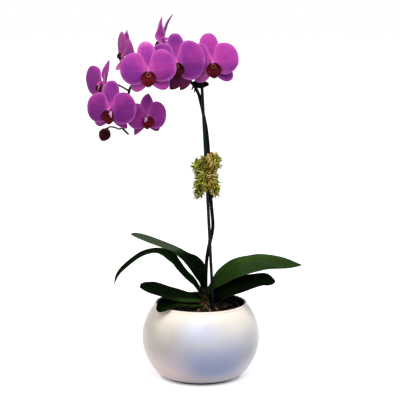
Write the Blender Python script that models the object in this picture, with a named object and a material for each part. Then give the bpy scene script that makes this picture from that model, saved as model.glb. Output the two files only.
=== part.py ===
"""A potted moth orchid: a glazed bubble bowl, a grow pot of bark mix and a staked, arching flower spike.

World frame: +Z up, origin at the centre of the bowl's foot, flowers facing -Y. Sizes are in millimetres.
"""

import math

import bmesh
import bpy
from mathutils import Euler, Matrix, Vector

MM = 0.001
GAP = 0.3  # clearance between pieces that touch

# Bowl: an ellipse of revolution, cut off at the foot and at the rim.
BOWL_RADIUS = 95.0
BOWL_HALF_HEIGHT = 85.5
BOWL_CENTRE_Z = 66.0
BOWL_RIM_Z = 122.0
BOWL_WALL = 5.5
BOWL_FLOOR_Z = 7.0
FOOT_RADIUS = 58.5
FOOT_HEIGHT = 3.0
FOOT_STEP_RADIUS = 61.5  # where the side starts, above the inset foot
LIP_DROP = 2.2  # the rolled lip starts this far below the rim
LIP_ROLL = ((-1.3, -0.3), (-3.0, 0.0), (-4.8, -0.8))  # from the lip's outer edge and from the rim's height
FLOOR_RADIUS = 54.0
FLOOR_FILLET = 4.0
BOWL_SIDES = 40

# Grow pot: a thin tapered liner with one drainage hole.
GROW_TOP_RADIUS = 61.5
GROW_BASE_RADIUS = 46.0
GROW_WALL = 1.6
GROW_RIM_Z = 115.5
GROW_RIM_HEIGHT = 3.0
GROW_RIM_FLANGE = 1.2
GROW_MIDDLE_Z = 60.0
DRAIN_RADIUS = 8.0
GROW_SIDES = 32

MIX_TOP_Z = 110.0

# Crown: the short stem that carries the leaves.
CROWN = (6.0, 0.0)
CROWN_TOP_Z = 144.0
CROWN_RADIUS = 9.0
ROOT_RADIUS = 2.4
ROOTS = ((200, 20), (285, 17), (348, 19), (28, 17), (95, 22), (150, 19))  # direction in degrees, reach

# Stake: a straight rod, leaning as it rises from the mix.
STAKE_RADIUS = 2.1
STAKE_AT_MIX = Vector((20.2, -12.0, MIX_TOP_Z))
STAKE_LEAN = Vector((-0.051, 0.0326, 1.0))  # travel per millimetre of height
STAKE_LOW_Z = 24.0
STAKE_TOP_Z = 478.0
BORE_CLEARANCE = 0.1  # added to the gap where a bore is cut for the stake or the spike

# Flower spike: base to tip, as (x, y, z, radius).
SPIKE_ROUTE = (
    (8.5, 3.5, 145.2, 2.5),
    (8.4, 2.6, 165.0, 2.4),
    (9.6, 0.5, 190.0, 2.3),
    (12.2, -1.4, 208.0, 2.3),
    (15.6, -2.6, 222.5, 2.2),
    (18.6, -3.4, 238.0, 2.2),
    (19.4, -4.0, 253.0, 2.2),
    (17.0, -4.4, 280.0, 2.2),
    (14.9, -3.4, 312.0, 2.1),
    (13.2, -2.0, 345.0, 2.1),
    (12.0, -0.6, 372.0, 2.1),
    (9.4, 1.6, 398.0, 2.1),
    (6.6, 3.4, 414.0, 2.1),
    (3.4, 4.2, 429.0, 2.1),
    (-1.4, 4.4, 451.0, 2.0),
    (-6.2, 3.4, 463.0, 2.0),
    (-13.0, 3.0, 473.5, 1.9),
    (-26.0, 3.0, 483.0, 1.8),
    (-56.0, 2.0, 488.5, 1.7),
    (-84.0, -5.0, 487.0, 1.6),
    (-101.0, -9.0, 480.0, 1.6),
    (-109.5, -10.0, 470.0, 1.5),
    (-113.6, -10.0, 457.3, 1.5),
    (-118.3, -10.0, 433.2, 1.4),
    (-122.3, -10.0, 410.0, 1.3),
    (-122.8, -10.0, 404.5, 1.3),
    (-119.8, -9.4, 400.4, 1.1),
    (-114.0, -8.0, 394.5, 0.9),
)

# Moss bundle round both stems: height, radius across, radius front to back.
MOSS_CENTRE_X = 9.5
MOSS_RINGS = (
    (290.5, 8.0, 7.0),
    (297.0, 15.0, 12.5),
    (306.0, 20.5, 16.5),
    (317.0, 22.0, 18.0),
    (327.0, 20.5, 16.5),
    (333.0, 18.0, 14.5),
    (339.0, 19.5, 15.5),
    (348.0, 21.0, 16.5),
    (357.0, 16.5, 13.5),
    (364.5, 8.5, 7.5),
)
MOSS_SIDES = 16
TIE_Z = 333.0
TIE_RADIUS = 0.8
TIE_CLEARANCE = 1.0  # the moss bulges by nearly this much on both sides of its waist

# Clip: a C-shaped band about a point beside the stake, with a long lobe on one side and two prongs.
CLIP_Z = 473.0
CLIP_HEIGHT = 11.0
CLIP_OFFSET = Vector((-3.0, 2.0))
CLIP_START = -152.0
CLIP_SWEEP = 290.0
CLIP_STEPS = 20
CLIP_OUTER = (14.0, 13.5, 8.4)  # radius to the left, to the right, front to back
CLIP_INNER = (12.0, 6.5, 6.0)
CLIP_PRONGS = ((-10.5, -14.5, 464.0), (-7.5, -10.5, 460.5))  # x at the root, x and z at the tip

# Leaves: stations (x, y, z), then (across x, y, z), half width.
LEAVES = {
    "leaf_1": (
        ((12.3, 2.2, 145.0), (0.25, 0.62, 0.74), 5.0),
        ((25.0, -0.5, 167.0), (0.20, 0.78, 0.58), 14.0),
        ((44.0, -6.0, 181.0), (0.08, 0.90, 0.42), 24.0),
        ((71.0, -11.0, 189.5), (0.0, 0.95, 0.31), 27.0),
        ((98.0, -12.0, 193.0), (0.0, 0.95, 0.31), 27.0),
        ((135.0, -10.0, 190.5), (0.0, 0.96, 0.28), 18.0),
        ((163.0, -5.0, 183.2), (0.0, 0.97, 0.24), 1.2),
    ),
    "leaf_2": (
        ((15.6, 1.0, 125.0), (0.10, 0.60, 0.79), 5.5),
        ((24.5, -2.5, 132.5), (0.10, 0.70, 0.70), 8.5),
        ((38.0, -13.0, 143.0), (0.10, 0.80, 0.60), 15.5),
        ((56.0, -21.0, 153.0), (0.04, 0.88, 0.47), 20.0),
        ((78.0, -24.0, 162.0), (0.0, 0.92, 0.39), 19.5),
        ((98.0, -26.0, 166.0), (0.0, 0.93, 0.37), 14.5),
        ((115.5, -28.0, 163.5), (0.0, 0.93, 0.37), 1.5),
    ),
    "leaf_3": (
        ((2.8, 8.8, 141.0), (0.62, 0.78, 0.0), 5.0),
        ((-2.5, 14.0, 162.0), (0.58, 0.81, 0.0), 13.0),
        ((-9.0, 20.0, 176.5), (0.58, 0.80, -0.12), 19.0),
        ((-19.0, 29.0, 187.0), (0.60, 0.76, -0.28), 20.0),
        ((-36.0, 42.0, 194.0), (0.58, 0.78, -0.30), 18.5),
        ((-62.0, 61.0, 200.5), (0.57, 0.79, -0.22), 17.0),
        ((-92.0, 80.0, 208.0), (0.57, 0.80, -0.14), 12.5),
        ((-116.0, 96.0, 215.2), (0.57, 0.82, -0.08), 1.5),
    ),
    "leaf_4": (
        ((-2.9, -2.2, 138.5), (0.10, 0.94, 0.32), 4.5),
        ((-17.0, -3.0, 157.0), (0.08, 0.95, 0.30), 10.0),
        ((-36.0, -5.0, 179.0), (0.06, 0.96, 0.26), 13.5),
        ((-54.0, -6.0, 196.5), (0.04, 0.98, 0.18), 15.5),
        ((-71.0, -6.0, 204.4), (0.0, 0.99, 0.10), 13.5),
        ((-94.0, -8.0, 200.0), (0.0, 1.0, 0.05), 11.5),
        ((-120.0, -12.0, 181.5), (0.0, 1.0, 0.02), 10.0),
        ((-133.5, -14.5, 167.0), (0.0, 1.0, 0.0), 6.5),
        ((-139.0, -16.0, 152.2), (0.0, 1.0, 0.0), 1.2),
    ),
    "leaf_5": (
        ((-1.9, -6.0, 127.3), (-0.30, 0.62, 0.72), 5.0),
        ((-21.0, -17.0, 132.0), (-0.30, 0.76, 0.58), 12.5),
        ((-42.0, -28.0, 139.0), (-0.34, 0.82, 0.46), 20.5),
        ((-64.0, -39.0, 145.5), (-0.36, 0.84, 0.40), 24.5),
        ((-83.0, -46.0, 151.5), (-0.38, 0.85, 0.36), 18.0),
        ((-96.0, -50.0, 158.0), (-0.38, 0.85, 0.36), 3.0),
    ),
    "leaf_6": (
        ((-0.3, -8.4, 117.4), (-0.50, 0.70, 0.50), 4.0),
        ((-17.0, -22.0, 121.5), (-0.52, 0.72, 0.46), 7.0),
        ((-35.0, -36.0, 127.0), (-0.54, 0.74, 0.40), 9.0),
        ((-51.0, -48.0, 127.5), (-0.55, 0.75, 0.36), 11.5),
        ((-61.0, -54.0, 123.5), (-0.55, 0.75, 0.34), 11.0),
        ((-66.0, -57.0, 119.0), (-0.55, 0.75, 0.34), 3.5),
    ),
}
LEAF_THICKNESS = 1.8
LEAF_FOLD = 0.22  # rise of the edges over the midrib, as a share of the half width

# Tepals at scale 1: clockwise angle from the top as seen from the front, length from the hub, half
# width on the anticlockwise side, half width on the clockwise side, in-plane bend and backward curl.
TEPALS = {
    "petal_left": (-93.0, 42.5, 26.0, 27.0, 0.0, 0.0),
    "petal_right": (90.0, 42.5, 27.0, 26.0, 0.0, 0.0),
    "dorsal": (0.0, 41.5, 13.8, 13.8, 0.0, 2.0),
    "lateral_left": (-141.0, 43.0, 12.5, 12.0, 0.0, 2.0),
    "lateral_right": (141.0, 43.0, 12.0, 12.5, 0.0, 2.0),
}

# Flowers: hub position, facing (degrees to the left of -Y), upward pitch, clockwise roll, scale,
# forward lean of the petals, the stalk's route from the spike, and the tepals that differ.
FLOWERS = {
    "flower_1": {
        "hub": (-80.9, -60.0, 500.5), "turn": (0, 4, 0), "scale": 1.0, "lean": 5,
        "stalk": ((-95.0, -8.2, 483.8), (-93.0, -24.0, 484.5), (-84.5, -44.0, 494.0)),
        "tepals": {
            "petal_left": (-94.0, 42.5, 25.5, 27.0, 0.0, 0.0),
            "petal_right": (86.0, 43.5, 29.0, 24.0, 0.0, 0.0),
            "dorsal": (-5.0, 42.5, 14.0, 14.0, 0.0, 2.0),
            "lateral_left": (-146.0, 39.5, 12.0, 12.0, 0.0, 2.0),
            "lateral_right": (132.0, 43.5, 12.0, 12.5, 0.0, 2.0),
        },
    },
    "flower_2": {
        "hub": (-38.4, -36.0, 512.5), "turn": (-3, 2, -2), "scale": 1.0, "lean": 5,
        "stalk": ((-44.0, 2.6, 487.0), (-43.0, -8.0, 492.0), (-40.0, -22.0, 505.0)),
        "tepals": {
            "petal_left": (-90.0, 41.0, 24.0, 28.0, 0.0, 0.0),
            "petal_right": (90.0, 44.5, 30.0, 31.0, 0.0, 0.0),
            "lateral_left": (-148.0, 49.0, 11.5, 11.5, -34.0, 5.0),
            "lateral_right": (148.0, 48.0, 11.5, 11.5, 32.0, -1.5),
        },
    },
    "flower_3": {
        "hub": (17.3, -13.0, 510.5), "turn": (-4, 2, -8), "scale": 1.0, "lean": 5,
        "stalk": ((-20.0, 3.2, 479.5), (-8.0, 10.0, 489.0), (12.0, 5.0, 504.0)),
        "tepals": {
            "petal_left": (-82.0, 40.0, 25.0, 27.0, 0.0, 0.0),
            "petal_right": (93.0, 42.0, 27.0, 26.0, 0.0, 0.0),
            "dorsal": (-2.0, 43.0, 15.0, 15.0, 0.0, 2.0),
        },
    },
    "flower_4": {
        "hub": (-138.7, -50.0, 440.5), "turn": (22, 2, 0), "scale": 0.92, "lean": 6,
        "stalk": ((-118.0, -10.0, 434.6), (-119.0, -22.0, 438.0), (-130.0, -36.0, 441.0)),
        "tepals": {
            "petal_left": (-92.0, 42.5, 25.0, 26.0, 0.0, 0.0),
            "petal_right": (88.0, 44.0, 27.0, 26.0, 0.0, 0.0),
            "dorsal": (0.0, 43.0, 13.5, 13.5, 0.0, 2.0),
            "lateral_left": (-136.0, 41.0, 12.0, 12.0, 0.0, 2.0),
            "lateral_right": (141.0, 44.0, 11.0, 11.0, 0.0, 2.0),
        },
    },
    "flower_5": {
        "hub": (-85.8, -24.0, 428.0), "turn": (-28, 4, 4), "scale": 0.85, "lean": 6,
        "stalk": ((-121.2, -10.0, 417.0), (-112.0, -3.0, 420.0), (-95.0, -8.0, 427.0)),
        "tepals": {
            "petal_left": (-100.0, 40.0, 25.0, 23.0, 0.0, 0.0),
            "petal_right": (90.0, 40.0, 24.0, 26.0, 0.0, 0.0),
            "dorsal": (4.0, 38.0, 12.0, 12.0, 0.0, 2.0),
            "lateral_left": (-150.0, 44.0, 10.0, 10.0, -8.0, 2.0),
            "lateral_right": (136.0, 41.0, 11.0, 11.0, 0.0, 2.0),
        },
    },
    "flower_6": {
        "hub": (-153.5, 12.0, 474.0), "turn": (65, 0, 13), "scale": 0.95, "lean": 23,
        "stalk": ((-112.0, -10.0, 463.4), (-128.2, 0.0, 470.8), (-142.0, 9.0, 474.0)),
        "tepals": {
            "petal_left": (-96.0, 43.0, 24.0, 25.0, 0.0, 0.0),
            "petal_right": (92.0, 40.0, 24.0, 24.0, 0.0, 0.0),
            "dorsal": (4.0, 42.0, 11.0, 11.0, 0.0, 1.0),
        },
    },
    "flower_7": {
        "hub": (-117.0, 6.0, 518.5), "turn": (68, -4, 2), "scale": 0.95, "lean": 6,
        "stalk": ((-92.0, -6.8, 485.0), (-94.0, 2.0, 500.0), (-104.0, 9.0, 515.0)),
        "tepals": {
            "petal_left": (-62.0, 42.0, 24.0, 25.0, 0.0, 0.0),
            "petal_right": (76.0, 40.0, 24.0, 24.0, 0.0, 0.0),
            "dorsal": (0.0, 42.0, 11.0, 11.0, 0.0, 1.0),
        },
    },
    "flower_8": {
        "hub": (-58.0, 26.0, 543.0), "turn": (91, 14, 0), "scale": 0.95, "lean": 24,
        "stalk": ((-34.0, 2.8, 485.2), (-34.0, 14.0, 502.0), (-42.0, 26.0, 530.0)),
        "tepals": {
            "petal_left": (-62.0, 40.0, 20.0, 20.0, 0.0, 0.0),
            "petal_right": (64.0, 42.0, 24.0, 23.0, 0.0, 0.0),
            "dorsal": (0.0, 42.0, 10.0, 10.0, 0.0, 2.0),
        },
    },
}
TEPAL_START = 4.7  # where a tepal's claw begins, from the hub's centre, at scale 1
PETAL_CLEARANCE = 0.6  # between a petal's claw and the column, at full size
TEPAL_THICKNESS = 0.9
PETAL_FORWARD = 2.3  # petals lie this far in front of the sepals
COLUMN_RADIUS = 2.5
COLUMN_LENGTH = 8.0
ANTHER_LENGTH = 1.6  # the rounded end of the column
STALK_RADIUS = 1.3
OVARY_RADIUS = 1.7
OVARY_DEPTH = 6.0  # how far behind the hub the stalk turns into the ovary
STALK_CLEARANCE = 0.2  # added to the gap where a stalk stands off the spike

# Lip at scale 1: (y, z, half width), from the claw to the tip.
LIP_STATIONS = (
    (-4.8, -4.2, 2.2),
    (-9.0, -6.0, 5.0),
    (-12.5, -10.3, 11.0),
    (-13.5, -16.6, 11.5),
    (-11.0, -22.8, 7.0),
    (-8.5, -26.5, 1.5),
)

# Bud on its stalk, as (x, y, z, radius).
BUD_ROUTE = (
    (-124.9, -10.6, 404.3, 0.9),
    (-129.0, -11.2, 403.4, 0.9),
    (-134.5, -12.0, 405.6, 0.9),
    (-142.0, -14.0, 407.2, 1.0),
    (-146.3, -15.2, 405.0, 1.7),
    (-147.6, -16.0, 402.6, 5.6),
    (-149.2, -17.0, 399.2, 8.6),
    (-151.0, -18.0, 395.2, 9.7),
    (-152.9, -19.0, 391.0, 8.2),
    (-154.4, -19.6, 387.6, 5.0),
    (-155.2, -20.0, 385.8, 1.6),
)

# Bark chips: (x, y), turn in degrees, (length, width, height).
BARK_CHIPS = {
    "bark_chip_1": ((38.0, -4.0), 25.0, (15.0, 6.5, 4.5)),
    "bark_chip_2": ((-4.0, -22.0), 78.0, (12.0, 5.5, 4.5)),
    "bark_chip_3": ((48.0, 12.0), -35.0, (11.0, 6.0, 4.0)),
}
CHIP_OUTLINE = ((-0.5, -0.4), (0.35, -0.5), (0.5, 0.3), (-0.3, 0.5))
CHIP_TAPER = 0.8
CHIP_TILT = 0.3  # a chip's top slopes by this share of its height


def clear_scene():
    for item in list(bpy.data.objects):
        bpy.data.objects.remove(item, do_unlink=True)


def material(name, colour, roughness, metallic=0.0):
    made = bpy.data.materials.new(name)
    made.use_nodes = True
    shader = made.node_tree.nodes["Principled BSDF"]
    shader.inputs["Base Color"].default_value = (*colour, 1.0)
    shader.inputs["Roughness"].default_value = roughness
    shader.inputs["Metallic"].default_value = metallic
    made.diffuse_color = (*colour, 1.0)
    return made


def solid(name, points, faces, look, smooth=True):
    """An object from points in millimetres, with its normals facing out."""
    mesh = bpy.data.meshes.new(name)
    mesh.from_pydata([Vector(p) * MM for p in points], [], faces)
    shell = bmesh.new()
    shell.from_mesh(mesh)
    bmesh.ops.recalc_face_normals(shell, faces=shell.faces)
    shell.to_mesh(mesh)
    shell.free()
    mesh.materials.append(look)
    if smooth:
        mesh.shade_smooth()
        mesh.set_sharp_from_angle(angle=math.radians(40))
    made = bpy.data.objects.new(name, mesh)
    bpy.context.scene.collection.objects.link(made)
    return made


def boolean(target, other, operation):
    """Cuts or joins, and leaves the other object as a hidden wire guide."""
    step = target.modifiers.new(f"{operation.lower()}_{other.name}", "BOOLEAN")
    step.operation = operation
    step.object = other
    step.solver = "EXACT"
    other.hide_render = True
    other.display_type = "WIRE"
    other.hide_set(True)


def curve_through(stations, steps):
    """Catmull-Rom samples through tuples of any length, ends included."""
    rows = [tuple(stations[0])] + [tuple(s) for s in stations] + [tuple(stations[-1])]
    samples = []
    for i in range(1, len(rows) - 2):
        for k in range(steps):
            u = k / steps
            sample = []
            for p, q, r, s in zip(*rows[i - 1 : i + 3]):
                slope = (r - p) * u
                square = (2 * p - 5 * q + 4 * r - s) * u**2
                cube = (3 * q - p - 3 * r + s) * u**3
                sample.append(q + (slope + square + cube) / 2)
            samples.append(tuple(sample))
    samples.append(rows[-1])
    return samples


def tube(name, route, look, sides=8, grow=0.0):
    """A closed tube along (x, y, z, radius) samples, its rings carried along without twist."""
    centres = [Vector(row[:3]) for row in route]
    points = []
    faces = []
    side = None
    for i, centre in enumerate(centres):
        along = (centres[min(i + 1, len(centres) - 1)] - centres[max(i - 1, 0)]).normalized()
        start = side if side else along.orthogonal()
        side = (start - along * start.dot(along)).normalized()
        other = along.cross(side)
        for k in range(sides):
            turn = 2 * math.pi * k / sides
            points.append(centre + (side * math.cos(turn) + other * math.sin(turn)) * (route[i][3] + grow))
        if i:
            faces += [
                (
                    (i - 1) * sides + k,
                    (i - 1) * sides + (k + 1) % sides,
                    i * sides + (k + 1) % sides,
                    i * sides + k,
                )
                for k in range(sides)
            ]
    faces.append(tuple(range(sides))[::-1])
    faces.append(tuple(range(len(points) - sides, len(points))))
    return solid(name, points, faces, look)


def sheet_grid(rows, columns, first=0):
    """Faces of a two-sided sheet whose front points come first, then as many back points."""
    back = (rows + 1) * (columns + 1)
    front_faces = []
    for i in range(rows):
        for j in range(columns):
            a = first + i * (columns + 1) + j
            front_faces.append((a, a + 1, a + columns + 2, a + columns + 1))
    back_faces = [tuple(k + back for k in reversed(face)) for face in front_faces]
    edge = [first + j for j in range(columns + 1)]
    edge += [first + i * (columns + 1) + columns for i in range(1, rows + 1)]
    edge += [first + rows * (columns + 1) + j for j in range(columns - 1, -1, -1)]
    edge += [first + i * (columns + 1) for i in range(rows - 1, 0, -1)]
    return front_faces, back_faces, edge, back


def blade(name, spine, across, halves, look, columns, thickness, lift):
    """A leaf or a petal: a sheet of even thickness about a spine; lift(t, half) raises it off the spine."""
    front = []
    back = []
    for i, centre in enumerate(spine):
        along = (spine[min(i + 1, len(spine) - 1)] - spine[max(i - 1, 0)]).normalized()
        side = (across[i] - along * across[i].dot(along)).normalized()
        normal = side.cross(along)
        for j in range(columns + 1):
            t = 2 * j / columns - 1
            point = centre + side * (t * halves[i]) + normal * lift(t, halves[i], i / (len(spine) - 1))
            front.append(point + normal * thickness / 2)
            back.append(point - normal * thickness / 2)
    front_faces, back_faces, edge, offset = sheet_grid(len(spine) - 1, columns)
    rim = [(a, a + offset, b + offset, b) for a, b in zip(edge, edge[1:] + edge[:1])]
    return solid(name, front + back, front_faces + back_faces + rim, look)


def ellipse_arc(inset, start_z, end_z, steps):
    """(radius, z) points on the bowl's ellipse, moved in by the inset, between two heights."""
    radius = BOWL_RADIUS - inset
    half_height = BOWL_HALF_HEIGHT - inset
    start = math.asin((start_z - BOWL_CENTRE_Z) / half_height)
    end = math.asin((end_z - BOWL_CENTRE_Z) / half_height)
    arc = []
    for i in range(steps + 1):
        turn = start + (end - start) * i / steps
        arc.append((radius * math.cos(turn), BOWL_CENTRE_Z + half_height * math.sin(turn)))
    return arc


def bowl_profile():
    """Outer foot, side and lip, then the inner wall and floor, from axis to axis."""
    profile = [(FOOT_RADIUS, 0.0), (FOOT_RADIUS, FOOT_HEIGHT), (FOOT_STEP_RADIUS, FOOT_HEIGHT)]
    profile += ellipse_arc(0.0, FOOT_HEIGHT + LIP_DROP, BOWL_RIM_Z - LIP_DROP, 12)
    outer = profile[-1][0]
    profile += [(outer + across, BOWL_RIM_Z + up) for across, up in LIP_ROLL]
    profile += ellipse_arc(BOWL_WALL, BOWL_RIM_Z - 2 * LIP_DROP, BOWL_FLOOR_Z + FLOOR_FILLET, 9)
    profile.append((FLOOR_RADIUS, BOWL_FLOOR_Z))
    return profile


def turned(name, profile, sides, look, capped=True):
    """A solid of revolution from (radius, z) points: capped at both ends, or closed on itself."""
    points = []
    faces = []
    for radius, z in profile:
        for k in range(sides):
            turn = 2 * math.pi * k / sides
            points.append((radius * math.cos(turn), radius * math.sin(turn), z))
    rings = len(profile)
    joined = rings - 1 if capped else rings
    for i in range(joined):
        j = (i + 1) % rings
        for k in range(sides):
            n = (k + 1) % sides
            faces.append((i * sides + k, i * sides + n, j * sides + n, j * sides + k))
    if capped:
        faces.append(tuple(range(sides)))
        faces.append(tuple(range((rings - 1) * sides, rings * sides)))
    return solid(name, points, faces, look)


def build_bowl():
    glaze = material("bowl_glaze", (0.86, 0.83, 0.79), 0.28)
    turned("bowl", bowl_profile(), BOWL_SIDES, glaze)


def grow_pot_radius(z):
    share = (z - BOWL_FLOOR_Z) / (GROW_RIM_Z - BOWL_FLOOR_Z)
    return GROW_BASE_RADIUS + (GROW_TOP_RADIUS - GROW_BASE_RADIUS) * share


def build_grow_pot():
    plastic = material("grow_pot_plastic", (0.012, 0.013, 0.014), 0.45)
    base_z = BOWL_FLOOR_Z + GAP
    floor_z = base_z + GROW_WALL
    rim_z = GROW_RIM_Z - GROW_RIM_HEIGHT
    profile = [
        (DRAIN_RADIUS, base_z),
        (grow_pot_radius(base_z), base_z),
        (grow_pot_radius(GROW_MIDDLE_Z), GROW_MIDDLE_Z),
        (grow_pot_radius(rim_z), rim_z),
        (GROW_TOP_RADIUS + GROW_RIM_FLANGE, rim_z),
        (GROW_TOP_RADIUS + GROW_RIM_FLANGE, GROW_RIM_Z),
        (GROW_TOP_RADIUS - GROW_WALL, GROW_RIM_Z),
        (grow_pot_radius(GROW_MIDDLE_Z) - GROW_WALL, GROW_MIDDLE_Z),
        (grow_pot_radius(floor_z) - GROW_WALL, floor_z),
        (DRAIN_RADIUS, floor_z),
    ]
    turned("grow_pot", profile, GROW_SIDES, plastic, capped=False)


def build_mix(stake_cutter):
    bark = material("bark_mix", (0.05, 0.032, 0.02), 0.95)
    low_z = BOWL_FLOOR_Z + GROW_WALL + 2 * GAP
    shoulder = 3.0
    heights = (low_z, GROW_MIDDLE_Z, MIX_TOP_Z - shoulder)
    profile = [(grow_pot_radius(z) - GROW_WALL - GAP, z) for z in heights]
    profile.append((grow_pot_radius(MIX_TOP_Z) - GROW_WALL - shoulder, MIX_TOP_Z))
    mix = turned("potting_mix", profile, GROW_SIDES, bark)
    boolean(mix, stake_cutter, "DIFFERENCE")


def build_bark_chips():
    """Loose chips that lie on the mix."""
    bark = material("bark_chips", (0.36, 0.17, 0.06), 0.85)
    for name, ((x, y), turn, (length, width, height)) in BARK_CHIPS.items():
        spin = Matrix.Rotation(math.radians(turn), 3, "Z")
        place = Vector((x, y, MIX_TOP_Z + GAP))
        points = [spin @ Vector((u * length, v * width, 0.0)) + place for u, v in CHIP_OUTLINE]
        for u, v in CHIP_OUTLINE:
            top = Vector((u * length * CHIP_TAPER, v * width * CHIP_TAPER, height * (1 - CHIP_TILT * v)))
            points.append(spin @ top + place)
        faces = [(3, 2, 1, 0), (4, 5, 6, 7)]
        faces += [(k, (k + 1) % 4, 4 + (k + 1) % 4, 4 + k) for k in range(4)]
        solid(name, points, faces, bark, smooth=False)


def stake_at(z):
    return STAKE_AT_MIX + STAKE_LEAN * (z - STAKE_AT_MIX.z)


def build_stake():
    coat = material("stake_coat", (0.012, 0.028, 0.03), 0.35)
    route = [(*stake_at(z), STAKE_RADIUS) for z in (STAKE_LOW_Z, STAKE_TOP_Z)]
    tube("stake", route, coat, sides=12)
    longer = [(*stake_at(z), STAKE_RADIUS) for z in (STAKE_LOW_Z - 2.0, STAKE_TOP_Z)]
    return tube("stake_cutter", longer, coat, sides=12, grow=GAP + BORE_CLEARANCE)


def build_spike():
    stem = material("spike_green", (0.02, 0.035, 0.018), 0.45)
    route = curve_through(SPIKE_ROUTE, 2)
    tube("flower_spike", route, stem)
    beyond_moss = 30.0
    low_z = MOSS_RINGS[0][0] - beyond_moss
    high_z = MOSS_RINGS[-1][0] + beyond_moss
    through_moss = [row for row in route if low_z < row[2] < high_z and row[0] > 0]
    return tube("spike_cutter", through_moss, stem, grow=GAP + BORE_CLEARANCE)


def build_crown():
    """The stem above the mix, with roots that creep out over the mix."""
    stem = material("crown_stem", (0.07, 0.06, 0.03), 0.8)
    x, y = CROWN
    low_z = MIX_TOP_Z + GAP
    route = [
        (x, y, low_z, CROWN_RADIUS - 1.0),
        (x, y, low_z + 8, CROWN_RADIUS),
        (x, y, low_z + 20, CROWN_RADIUS - 0.5),
        (x, y, CROWN_TOP_Z - 4, CROWN_RADIUS - 2.0),
        (x, y, CROWN_TOP_Z, CROWN_RADIUS - 4.5),
    ]
    crown = tube("crown_and_roots", route, stem, sides=14)
    root_z = low_z + ROOT_RADIUS + 0.2
    for i, (turn, reach) in enumerate(ROOTS):
        way = Vector((math.cos(math.radians(turn)), math.sin(math.radians(turn)), 0.0))
        start = Vector((x, y, low_z + 9)) + way * (CROWN_RADIUS - 4)
        middle = Vector((x, y, root_z + 3.2)) + way * (CROWN_RADIUS + 3.5)
        end = Vector((x, y, root_z)) + way * reach
        stations = [(*start, ROOT_RADIUS), (*middle, ROOT_RADIUS), (*end, ROOT_RADIUS * 0.7)]
        boolean(crown, tube(f"root_{i}", curve_through(stations, 2), stem, sides=6), "UNION")


def leaf_lift(t, half, _share):
    return LEAF_FOLD * half * abs(t) ** 1.5


def build_leaves():
    green = material("leaf_green", (0.02, 0.07, 0.015), 0.38)
    for name, stations in LEAVES.items():
        rows = curve_through([(*place, *across, half) for place, across, half in stations], 2)
        spine = [Vector(row[0:3]) for row in rows]
        sides = [Vector(row[3:6]).normalized() for row in rows]
        blade(name, spine, sides, [row[6] for row in rows], green, 4, LEAF_THICKNESS, leaf_lift)


def moss_radius(turn, across, deep):
    """Lumpy outline: two lobes and a finer ripple."""
    ripple = 1 + 0.07 * math.cos(2 * turn) + 0.05 * math.sin(5 * turn)
    return Vector((across * math.cos(turn), deep * math.sin(turn))) * ripple


def build_moss(cutters):
    fibre = material("moss_fibre", (0.22, 0.22, 0.05), 1.0)
    points = []
    faces = []
    for i, (z, across, deep) in enumerate(MOSS_RINGS):
        for k in range(MOSS_SIDES):
            out = moss_radius(2 * math.pi * (k + 0.5 * (i % 2)) / MOSS_SIDES, across, deep)
            points.append((MOSS_CENTRE_X + out.x, out.y, z))
        if i:
            low = (i - 1) * MOSS_SIDES
            for k in range(MOSS_SIDES):
                n = (k + 1) % MOSS_SIDES
                faces.append((low + k, low + n, low + MOSS_SIDES + n, low + MOSS_SIDES + k))
    faces.append(tuple(range(MOSS_SIDES)))
    faces.append(tuple(range(len(points) - MOSS_SIDES, len(points))))
    moss = solid("moss_bundle", points, faces, fibre)
    for cutter in cutters:
        boolean(moss, cutter, "DIFFERENCE")


def build_tie():
    """A turn of twine round the waist of the moss."""
    twine = material("twine", (0.5, 0.42, 0.28), 0.9)
    across, deep = next(ring[1:] for ring in MOSS_RINGS if ring[0] == TIE_Z)
    sides, around = 6, 28
    points = []
    faces = []
    for i in range(around):
        turn = 2 * math.pi * i / around
        out = moss_radius(turn, across, deep)
        way = out.normalized()
        centre = Vector((MOSS_CENTRE_X, 0.0)) + out + way * (TIE_RADIUS + TIE_CLEARANCE)
        for k in range(sides):
            spin = 2 * math.pi * k / sides
            place = centre + way * TIE_RADIUS * math.cos(spin)
            points.append((place.x, place.y, TIE_Z + TIE_RADIUS * math.sin(spin)))
        for k in range(sides):
            n = (k + 1) % sides
            j = (i + 1) % around
            faces.append((i * sides + k, i * sides + n, j * sides + n, j * sides + k))
    solid("moss_tie", points, faces, twine)


def build_clip():
    """A C-shaped clip, open towards the spike's bend, with a finger lobe and two prongs."""
    plastic = material("clip_plastic", (0.01, 0.014, 0.015), 0.4)
    middle = stake_at(CLIP_Z).to_2d() + CLIP_OFFSET
    outlines = ([], [])
    for outline, (left, right, deep) in zip(outlines, (CLIP_OUTER, CLIP_INNER)):
        for k in range(CLIP_STEPS + 1):
            turn = math.radians(CLIP_START + CLIP_SWEEP * k / CLIP_STEPS)
            across = right if math.cos(turn) > 0 else left
            outline.append(middle + Vector((across * math.cos(turn), deep * math.sin(turn))))
    points = []
    for z in (CLIP_Z - CLIP_HEIGHT / 2, CLIP_Z + CLIP_HEIGHT / 2):
        points += [(*p, z) for outline in outlines for p in outline]
    last = CLIP_STEPS
    count = CLIP_STEPS + 1
    high = 2 * count
    faces = [(0, count, high + count, high), (last, high + last, high + count + last, count + last)]
    for k in range(CLIP_STEPS):
        n = k + 1
        faces.append((k, n, count + n, count + k))
        faces.append((high + k, high + count + k, high + count + n, high + n))
        faces.append((k, high + k, high + n, n))
        faces.append((count + k, count + n, high + count + n, high + count + k))
    clip = solid("stem_clip", points, faces, plastic)
    for i, (x, low_x, low_z) in enumerate(CLIP_PRONGS):
        route = [(x, middle.y - 5.6, CLIP_Z - 2, 1.3), (low_x, middle.y - 6.6, low_z, 0.9)]
        boolean(clip, tube(f"prong_{i}", route, plastic, sides=6), "UNION")


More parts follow.
